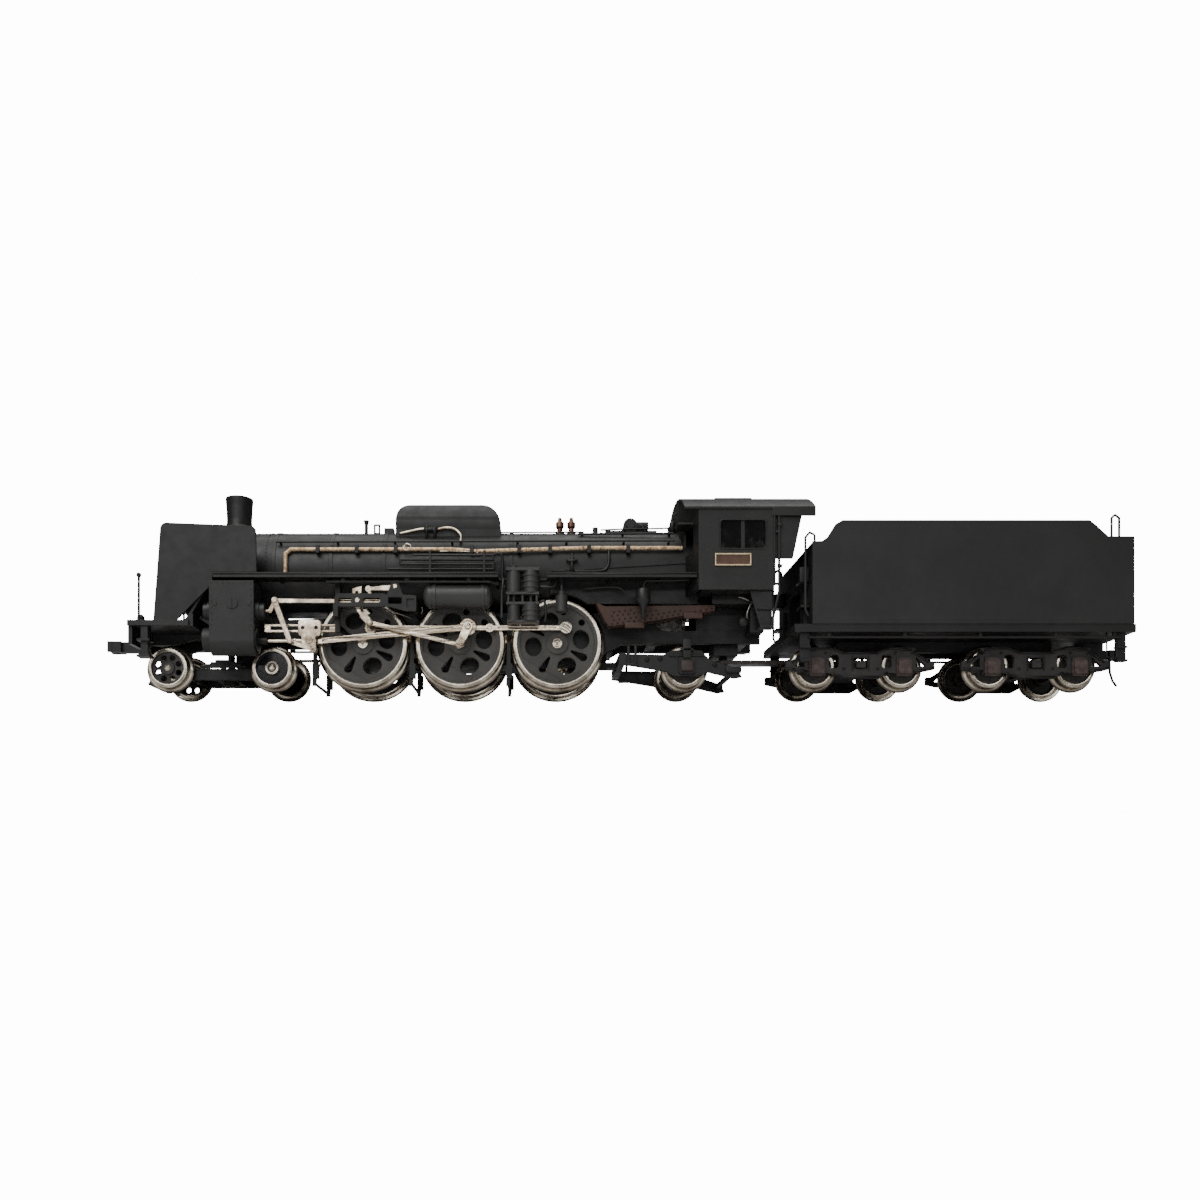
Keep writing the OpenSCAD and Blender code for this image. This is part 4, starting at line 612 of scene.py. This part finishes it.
def add_top_pipes():
    """The rail and the pipes along the boiler's top, with the nuts and the small valve among them."""
    top = BOILER_TOP
    make_tubes("top_rail", DRIVE_X, [
        [(4.3, -4.9, 40.3), (8.5, -4.9, 40.4), (28.5, -4.6, 40.6), (30.1, -4.5, 40.6)]], 0.2)
    make_tubes("generator_pipes", DRIVE_X, [
        [(34.9, -1.2, top + 1.0), (37.3, -1.9, top + 0.9), (41.5, -2.3, top + 0.9), (47.5, -2.3, top + 1.0),
         (56.1, -2.4, top + 1.2)],
        [(43.5, 0, top + 3.2), (44.9, -1, top + 2.4), (45.9, -1.4, top + 1.2)],
        [(52.9, -2.0, top + 0.3), (52.9, -2.0, top + 3.4), (53.4, -2.0, top + 4.6), (55.1, -2.0, top + 5.3),
         (56.7, -2.0, top + 5.4)]], 0.22)
    shape = bmesh.new()
    add_turned_pair(shape, (DRIVE_X + 52.9, -2.0, top - 0.2), (0, 0, 1),
                    [(0, 0), (0.75, 0.1), (0.75, 2.6), (0.55, 3.0), (0.3, 3.2), (0, 3.3)])
    for x in (36.9, 40.5, 46.1):
        add_turned_pair(shape, (DRIVE_X + x, -1.8, top + 0.35), (0, -1, 0.15),
                        [(0, 0), (0.5, 0), (0.5, 0.4), (0, 0.5)])
    make_piece("generator_nuts", shape, LOCO, black)


def add_firebox_pipes():
    """The pipes on the boiler's flank behind the cooling coil, and the drip cups below them."""
    make_tubes("coil_pipe", DRIVE_X, [
        [(8.2, -12.6, 32.7), (9.6, -12.6, 33.0), (10.4, -12.6, 32.0), (10.4, -12.5, 28.5),
         (10.5, -12.6, 25.6), (11.1, -13.2, 24.4)]], 0.33)
    make_tubes("feed_pipe", DRIVE_X, [
        on_boiler([(36.3, 34.6), (36.3, 32.0), (36.0, 30.4)], 0.5)
        + [(34.9, -11.0, 29.3), (31.5, -11.0, 29.1), (27.9, -11.0, 29.1)],
        [(27.3, -11.1, 27.4), (27.3, -11.1, 33.4)],
        [(25.9, -11.2, 31.6), (28.7, -11.2, 31.6)]], 0.36)
    make_tubes("seam_bead", DRIVE_X, [[(22.1, -10.55, 29.2), (42.5, -10.6, 30.4), (57.1, -10.6, 31.3)]], 0.16)
    make_tubes("pump_pipes", DRIVE_X, [
        [(19.5, -14.0, 24.6), (21.1, -14.2, 24.5), (22.9, -14.2, 24.7), (23.6, -14.0, 26.7)],
        [(19.5, -14.2, 20.9), (20.6, -14.5, 20.9), (20.9, -14.5, 18.0), (20.7, -14.3, 16.2)]], 0.3)
    make_tubes("drip_pipes", DRIVE_X, [
        [(44.4, -15.0, 23.2), (44.5, -15.0, 25.2), (45.3, -15.0, 25.7), (50.5, -15.0, 25.8),
         (55.5, -15.0, 26.0)],
        [(29.9, -12.0, 24.6), (36.5, -12.2, 25.0), (38.9, -12.4, 24.6), (40.1, -12.4, 23.8)]], 0.26)
    shape = bmesh.new()
    add_turned_pair(shape, (DRIVE_X + 44.2, -15.0, 16.6), (0, 0, 1),
                    [(0, 0), (0.45, 0.1), (0.45, 2.0), (1.0, 3.4), (1.65, 4.0), (1.75, 4.2), (1.75, 7.0),
                     (1.5, 7.2), (0, 7.2)], 28)
    make_piece("drip_cups", shape, LOCO, black)


def add_footplate_beads():
    """The raised edges of the footplates, before and behind the air pump."""
    shape = bmesh.new()
    for front, rear in ((-58.1, 9.3), (21.3, 56.7)):
        add_tubes(shape, [(DRIVE_X + front, -17.0, 26.9), (DRIVE_X + rear, -17.0, 26.9)], 0.17, 8)
    make_piece("footplate_beads", shape, LOCO, black)


def add_windows():
    """The raised frame round each cab window, and its two panes."""
    x0, x1, z0, z1, corner_r = CAB_X0 + 5.1, CAB_X0 + 16, 32.7, 39.6, 0.8
    corners = ((x1 - corner_r, z1 - corner_r), (x0 + corner_r, z1 - corner_r),
               (x0 + corner_r, z0 + corner_r), (x1 - corner_r, z0 + corner_r))
    edge = []
    for quarter, (x, z) in enumerate(corners):
        for k in range(5):
            angle = math.radians(90 * quarter + 22.5 * k)
            edge.append((x + corner_r * math.cos(angle), -17.5, z + corner_r * math.sin(angle)))
    shape = bmesh.new()
    add_tubes(shape, edge + edge[:2], 0.2, 8)
    make_piece("window_frames", shape, LOCO, black)
    shape = bmesh.new()
    for pane in ((x0, x0 + 5.2), (x0 + 5.7, x1)):
        add_boxes(shape, pane, (17.0, 17.18), (z0, z1), 0.04)
    make_piece("window_glass", shape, LOCO, glazing_with_painted_shade(), smooth=False)


def add_cylinder_rivets():
    """Rivets round the cylinder's casing, and the bolts of its two front covers."""
    y, low, high, pitch = -17.5, 14.6, 24.6, 1.4
    points = row((CYLINDER_X - 3.4, y, high), (CYLINDER_X + 3.4, y, high), pitch)
    for x in (CYLINDER_X - 4.7, CYLINDER_X + 4.7):
        points += row((x, y, low), (x, y, high), pitch)
    make_rivets("cylinder_rivets", points, (0, -1, 0))
    front = CYLINDER_X - 7.2
    valve_bolts = on_circle(8, (front, -14.3, 18.6), 1.55, half_step=True)
    piston_bolts = on_circle(8, (front, -14.3, DRIVER_Z), 2.3, half_step=True)
    make_rivets("cover_bolts", valve_bolts + piston_bolts, (-1, 0, 0), radius=0.2)


def add_boiler_rivets():
    """Bolts round the smokebox front, and two rows of rivets over the smokebox."""
    bolts = on_circle(28, (DRIVE_X - 69.9, 0, BOILER_Z), 9.6)
    make_rivets("smokebox_bolts", bolts, (-1, 0, 0), radius=0.2, both=False)
    dome = [(0.15, -0.05), (0.15, 0.05), (0.1, 0.12), (0, 0.14)]
    shape = bmesh.new()
    for x in (DRIVE_X - 68.2, DRIVE_X - 47.4):
        for k in range(41):
            angle = math.radians(-30 + 6 * k)
            out = Vector((0, math.cos(angle), math.sin(angle)))
            add_turned(shape, Vector((x, 0, BOILER_Z)) + out * BOILER_R, out, dome, 8)
    make_piece("boiler_rivets", shape, LOCO, black)


def add_ash_pan_details():
    """Rivets over the ash pan's sloping side, and its two doors."""
    column_pitch, row_pitch, top = 1.34, 0.95, 19.8
    knee = 46
    points = []
    for k in range(19):
        x = 36.9 + column_pitch * k
        bottom = 15.9 + 0.125 * (x - 36.4) if x < knee else 17.1 + 0.165 * (x - knee)
        for step in range(max(1, round((top - bottom) / row_pitch))):
            stagger = 0.45 * (step % 2)
            points.append((DRIVE_X + x + stagger, -12.6, bottom + row_pitch * step))
    make_rivets("ash_pan_rivets", points, (0, -1, 0), rivet_brown, 0.24)
    shape = bmesh.new()
    add_boxes(shape, (DRIVE_X + 40.0, DRIVE_X + 44.7), (12.4, 13.1), (14.9, 16.3), 0.15)
    add_boxes(shape, (DRIVE_X + 54.2, DRIVE_X + 58.8), (12.4, 13.1), (17.2, 18.7), 0.2)
    make_piece("ash_pan_doors", shape, LOCO, ash_brown)


def add_sand_pipes():
    make_tubes("sand_pipes", DRIVE_X, [
        [(-35.1, -9.0, 13.6), (-34.7, -9.0, 11.0), (-34.2, -9.0, 8.4), (-34.5, -9.0, 6.2)],
        [(-17.7, -12.2, 20.6), (-16.7, -11.6, 19.4), (-14.1, -10.6, 18.6), (-11.9, -9.6, 18.0)],
        [(-9.1, -12.6, 20.0), (-8.9, -12.4, 19.2), (-9.4, -11.9, 18.5)]], 0.2, steel_dark)


def add_crank_nuts():
    """The six-sided nut on each return crank's pin."""
    for side, out in (("left", -1), ("right", 1)):
        x, z = crank_pin(DRIVE_X, side)
        shape = bmesh.new()
        add_turned(shape, (x, out * 12.95, z), (0, out, 0),
                   [(0.75, -0.05), (0.75, 0.3), (0.62, 0.42), (0.3, 0.42), (0.28, 0.3), (0, 0.3)], 6)
        make_piece(f"crank_nut_{side}", shape, "driver_axle_2", nickel)


def add_cab_pieces():
    """The clamps of the rear handrails, the pipes below the cab and the frame that carries its floor."""
    x0, x1 = CAB_X0, CAB_X1
    make_tubes("rail_clamps", x1, [[(0.9, -17.4, z), (2.0, -17.6, z)] for z in (28.6, 38.4)], 0.42)
    make_tubes("cab_pipes", x1, [
        [(-3.4, -12.6, 22.8), (-4.4, -12.8, 20.8), (-5.4, -12.8, 18.2), (-5.0, -12.6, 16.2)],
        [(-9.6, -11.8, 22.6), (-6.6, -12.2, 22.4), (-4.6, -12.2, 21.6)]], 0.3, steel_dark)
    shape = bmesh.new()
    add_boxes(shape, (x1 - 4.6, x1 - 1.2), (6.2, 12.4), (14.0, 22.9), 0.2)
    add_boxes(shape, (x0 + 4.0, x1 - 1.4), (6.2, 12.4), (20.8, 23.05), 0.2)
    add_turned_pair(shape, (x1 - 6.2, -12.2, 16.4), (0, -1, 0),
                    [(0, 0), (1.2, 0), (1.2, 0.8), (0.6, 1.1), (0, 1.1)])
    make_piece("cab_underframe", shape, LOCO, frame_black)


def add_truck_pieces():
    """Spring gear, axlebox covers and the steps of the trailing truck."""
    x = TRUCK_X
    shape = bmesh.new()
    add_boxes(shape, (x - 1.0, x + 1.0), (12.15, 13.3), (7.6, 12.2), 0.15)
    add_boxes(shape, (x - 1.5, x + 1.5), (12.15, 13.3), (9.4, 10.0), 0.1)
    add_boxes(shape, (x - 14.6, x - 12.0), (12.15, 13.0), (5.8, 6.5), 0.12)
    for front in (x - 14.4, x - 12.7):
        add_boxes(shape, (front, front + 0.6), (12.15, 13.0), (6.2, 10.6), 0.12)
    add_boxes(shape, (x + 9.4, x + 13.2), (12.15, 13.0), (4.1, 5.6), 0.3)
    for dx, z in ((-9.6, 7.4), (-6.4, 7.6), (6.8, 6.2)):
        add_turned_pair(shape, (x + dx, -12.1, z), (0, -1, 0),
                        [(0.6, -0.1), (0.6, 0.3), (0.3, 0.35), (0.3, 0.6), (0, 0.65)], 6)
    make_piece("truck_gear", shape, "trailing_truck", frame_black)
    shape = bmesh.new()
    add_boxes(shape, (x - 1.45, x + 1.45), (12.8, 13.55), (4.5, 7.0), 0.25)
    make_piece("truck_axleboxes", shape, "trailing_truck", box_brown)


# ---- pieces on the tender ------------------------------------------------------------------

def add_tender_pieces():
    """The tank's rolled rim, the rear steps, and the boxes and shelves on the tank's front."""
    x0, x1, rim_y, rim_top = TANK_X0, TANK_X1, -16.95, 39.45
    rim = [(x0, 34.4), (x0 + 2.4, 34.5), (x0 + 3.7, 35.4), (x0 + 5.6, 38.5), (x0 + 7.2, rim_top),
           (x1 - 10.6, rim_top), (x1 - 9.4, 38.5), (x1 - 6.2, 35.6), (x1, 35.6)]
    shape = bmesh.new()
    add_tubes(shape, [(x, rim_y, z) for x, z in rim], 0.24, 8)
    make_piece("tank_rim", shape, TENDER, charcoal)
    make_tubes("tender_steps", TENDER_X, [
        [(74.5, -16.2, 13.0), (74.5, -16.3, 7.2), (76.9, -16.3, 7.2), (76.9, -16.2, 13.0)]],
        0.2, body=TENDER, smooth=False)
    shape = bmesh.new()
    add_boxes(shape, (x0 - 2.6, x0 + 0.1), (10.6, 15.0), (25.4, 29.2), 0.5)
    add_boxes(shape, (x0 - 2.2, x0 + 0.1), (10.6, 15.0), (19.4, 20.0), 0.1)
    make_piece("tank_boxes", shape, TENDER, black)


def add_bogie_pieces(body):
    """Ribs and bolts cast on one tender bogie's sides, in two lines of ribs and two end arms."""
    centre = middle(body)[0]
    upper = [(-12.4, 9.75), (-7.0, 10.2), (-4.0, 9.05), (4.0, 9.05), (7.0, 10.2), (12.4, 9.75)]
    lower = [(-6.6, 4.3), (-4.5, 3.2), (4.5, 3.2), (6.6, 4.3)]
    arms = [[(end * 12.9, 9.1), (end * 14.2, 8.4), (end * 16.6, 6.8)] for end in (-1, 1)]
    feet = [[(end * 12.9, 4.6), (end * 15.8, 4.9), (end * 17.6, 5.4)] for end in (-1, 1)]
    shape = bmesh.new()
    for line in (upper, lower, *arms, *feet):
        for start, end in zip(line, line[1:]):
            add_tubes(shape, [(centre + x, -12.05, z) for x, z in (start, end)], 0.3, 8)
    for dx in (-2.1, 1.8):
        add_boxes(shape, (centre + dx, centre + dx + 0.3), (11.9, 12.25), (4.8, 8.3), 0.08)
    for dx, z in ((4.1, 5.2), (8.4, 9.0), (12.6, 9.0)):
        for end in (-1, 1):
            add_turned_pair(shape, (centre + end * dx, -12.0, z), (0, -1, 0),
                            [(0.35, -0.1), (0.35, 0.2), (0.2, 0.3), (0, 0.32)], 6)
    make_piece(body.replace("tender_bogie", "bogie_ribs"), shape, body, frame_black)


add_truck_pieces()
add_bogie_pieces("tender_bogie_1")
add_bogie_pieces("tender_bogie_2")
add_dome_pipes()
add_top_pipes()
add_firebox_pipes()
add_footplate_beads()
add_windows()
add_cylinder_rivets()
add_boiler_rivets()
add_ash_pan_details()
add_sand_pipes()
add_crank_nuts()
add_tender_pieces()
add_cab_pieces()


# ---- stage, light and camera ---------------------------------------------------------------

def add_floor():
    """A pale floor that shows from above only and fades out, so that it has no edge or underside."""
    half_size, under_wheels = 1.5, 0.0002
    fade_from, fade_to = 0.22, 0.55
    shape = bmesh.new()
    bmesh.ops.create_grid(shape, x_segments=1, y_segments=1, size=half_size)
    mesh = bpy.data.meshes.new("floor")
    shape.to_mesh(mesh)
    shape.free()
    floor = bpy.data.objects.new("floor", mesh)
    floor.location = (0, 0, -under_wheels)
    bpy.context.collection.objects.link(floor)
    look = Shader("floor_paint")
    look.colour(look.mottle(0.02, 3, (0.3, grey(0.80)), (0.7, grey(0.84))))
    look.bsdf.inputs["Roughness"].default_value = 0.7
    x, y = look.axis(0), look.axis(1)
    far = look.math("SQRT", look.math("ADD", look.math("MULTIPLY", x, x), look.math("MULTIPLY", y, y)))
    fade = look.ramp(far, (fade_from, grey(0)), (fade_to, grey(1)))
    underside = look.node("NewGeometry").outputs["Backfacing"]
    surface = look.node("MixShader")
    look.link(look.math("MAXIMUM", underside, fade), surface.inputs["Fac"])
    look.link(look.bsdf.outputs[0], surface.inputs[1])
    look.link(look.node("BsdfTransparent").outputs[0], surface.inputs[2])
    look.link(surface.outputs[0], look.tree.nodes["Material Output"].inputs["Surface"])
    mesh.materials.append(look.mat)


def add_world():
    """White where the camera looks past the model, and dimmer as a source of light."""
    world = bpy.data.worlds.new("studio")
    world.use_nodes = True
    tree = world.node_tree
    seen = tree.nodes["Background"]
    seen.inputs["Color"].default_value = (1, 1, 1, 1)
    seen.inputs["Strength"].default_value = 14
    light = tree.nodes.new("ShaderNodeBackground")
    light.inputs["Color"].default_value = (1.0, 0.985, 0.96, 1)
    light.inputs["Strength"].default_value = 0.10
    path = tree.nodes.new("ShaderNodeLightPath")
    mix = tree.nodes.new("ShaderNodeMixShader")
    tree.links.new(path.outputs["Is Camera Ray"], mix.inputs["Fac"])
    tree.links.new(light.outputs[0], mix.inputs[1])
    tree.links.new(seen.outputs[0], mix.inputs[2])
    tree.links.new(mix.outputs[0], tree.nodes["World Output"].inputs["Surface"])
    bpy.context.scene.world = world


def add_area_light(name, place, target, width, depth, power):
    """A soft rectangular light. place, target, width and depth are in metres, power in watts."""
    data = bpy.data.lights.new(name, "AREA")
    data.shape = "RECTANGLE"
    data.size = width
    data.size_y = depth
    data.energy = power
    light = bpy.data.objects.new(name, data)
    light.location = place
    light.rotation_euler = (Vector(target) - Vector(place)).to_track_quat("-Z", "Y").to_euler()
    bpy.context.collection.objects.link(light)


def add_camera():
    """A camera square to the left side, in metres, low enough to see the far wheels below the near ones.

    Its shift brings the model into the middle of the frame without turning the camera."""
    data = bpy.data.cameras.new("camera")
    data.sensor_width = 36.0
    data.lens = 31.2
    data.clip_start = 0.005
    data.shift_x = 0.0535
    data.shift_y = 0.2128
    camera = bpy.data.objects.new("camera", data)
    camera.location = (-0.020, -0.264, -0.040)
    camera.rotation_euler = (math.pi / 2, 0, 0)
    bpy.context.collection.objects.link(camera)
    bpy.context.scene.camera = camera


add_floor()
add_world()
add_area_light("key", (-0.25, -0.45, 0.50), (0, 0, 0.02), 0.5, 0.5, 3.6)
add_area_light("front", (0.0, -0.60, 0.16), (0, 0, 0.02), 0.9, 0.06, 0.62)
add_area_light("top", (0.0, 0.05, 0.55), (0, 0, 0.03), 0.5, 0.5, 1.7)
add_camera()
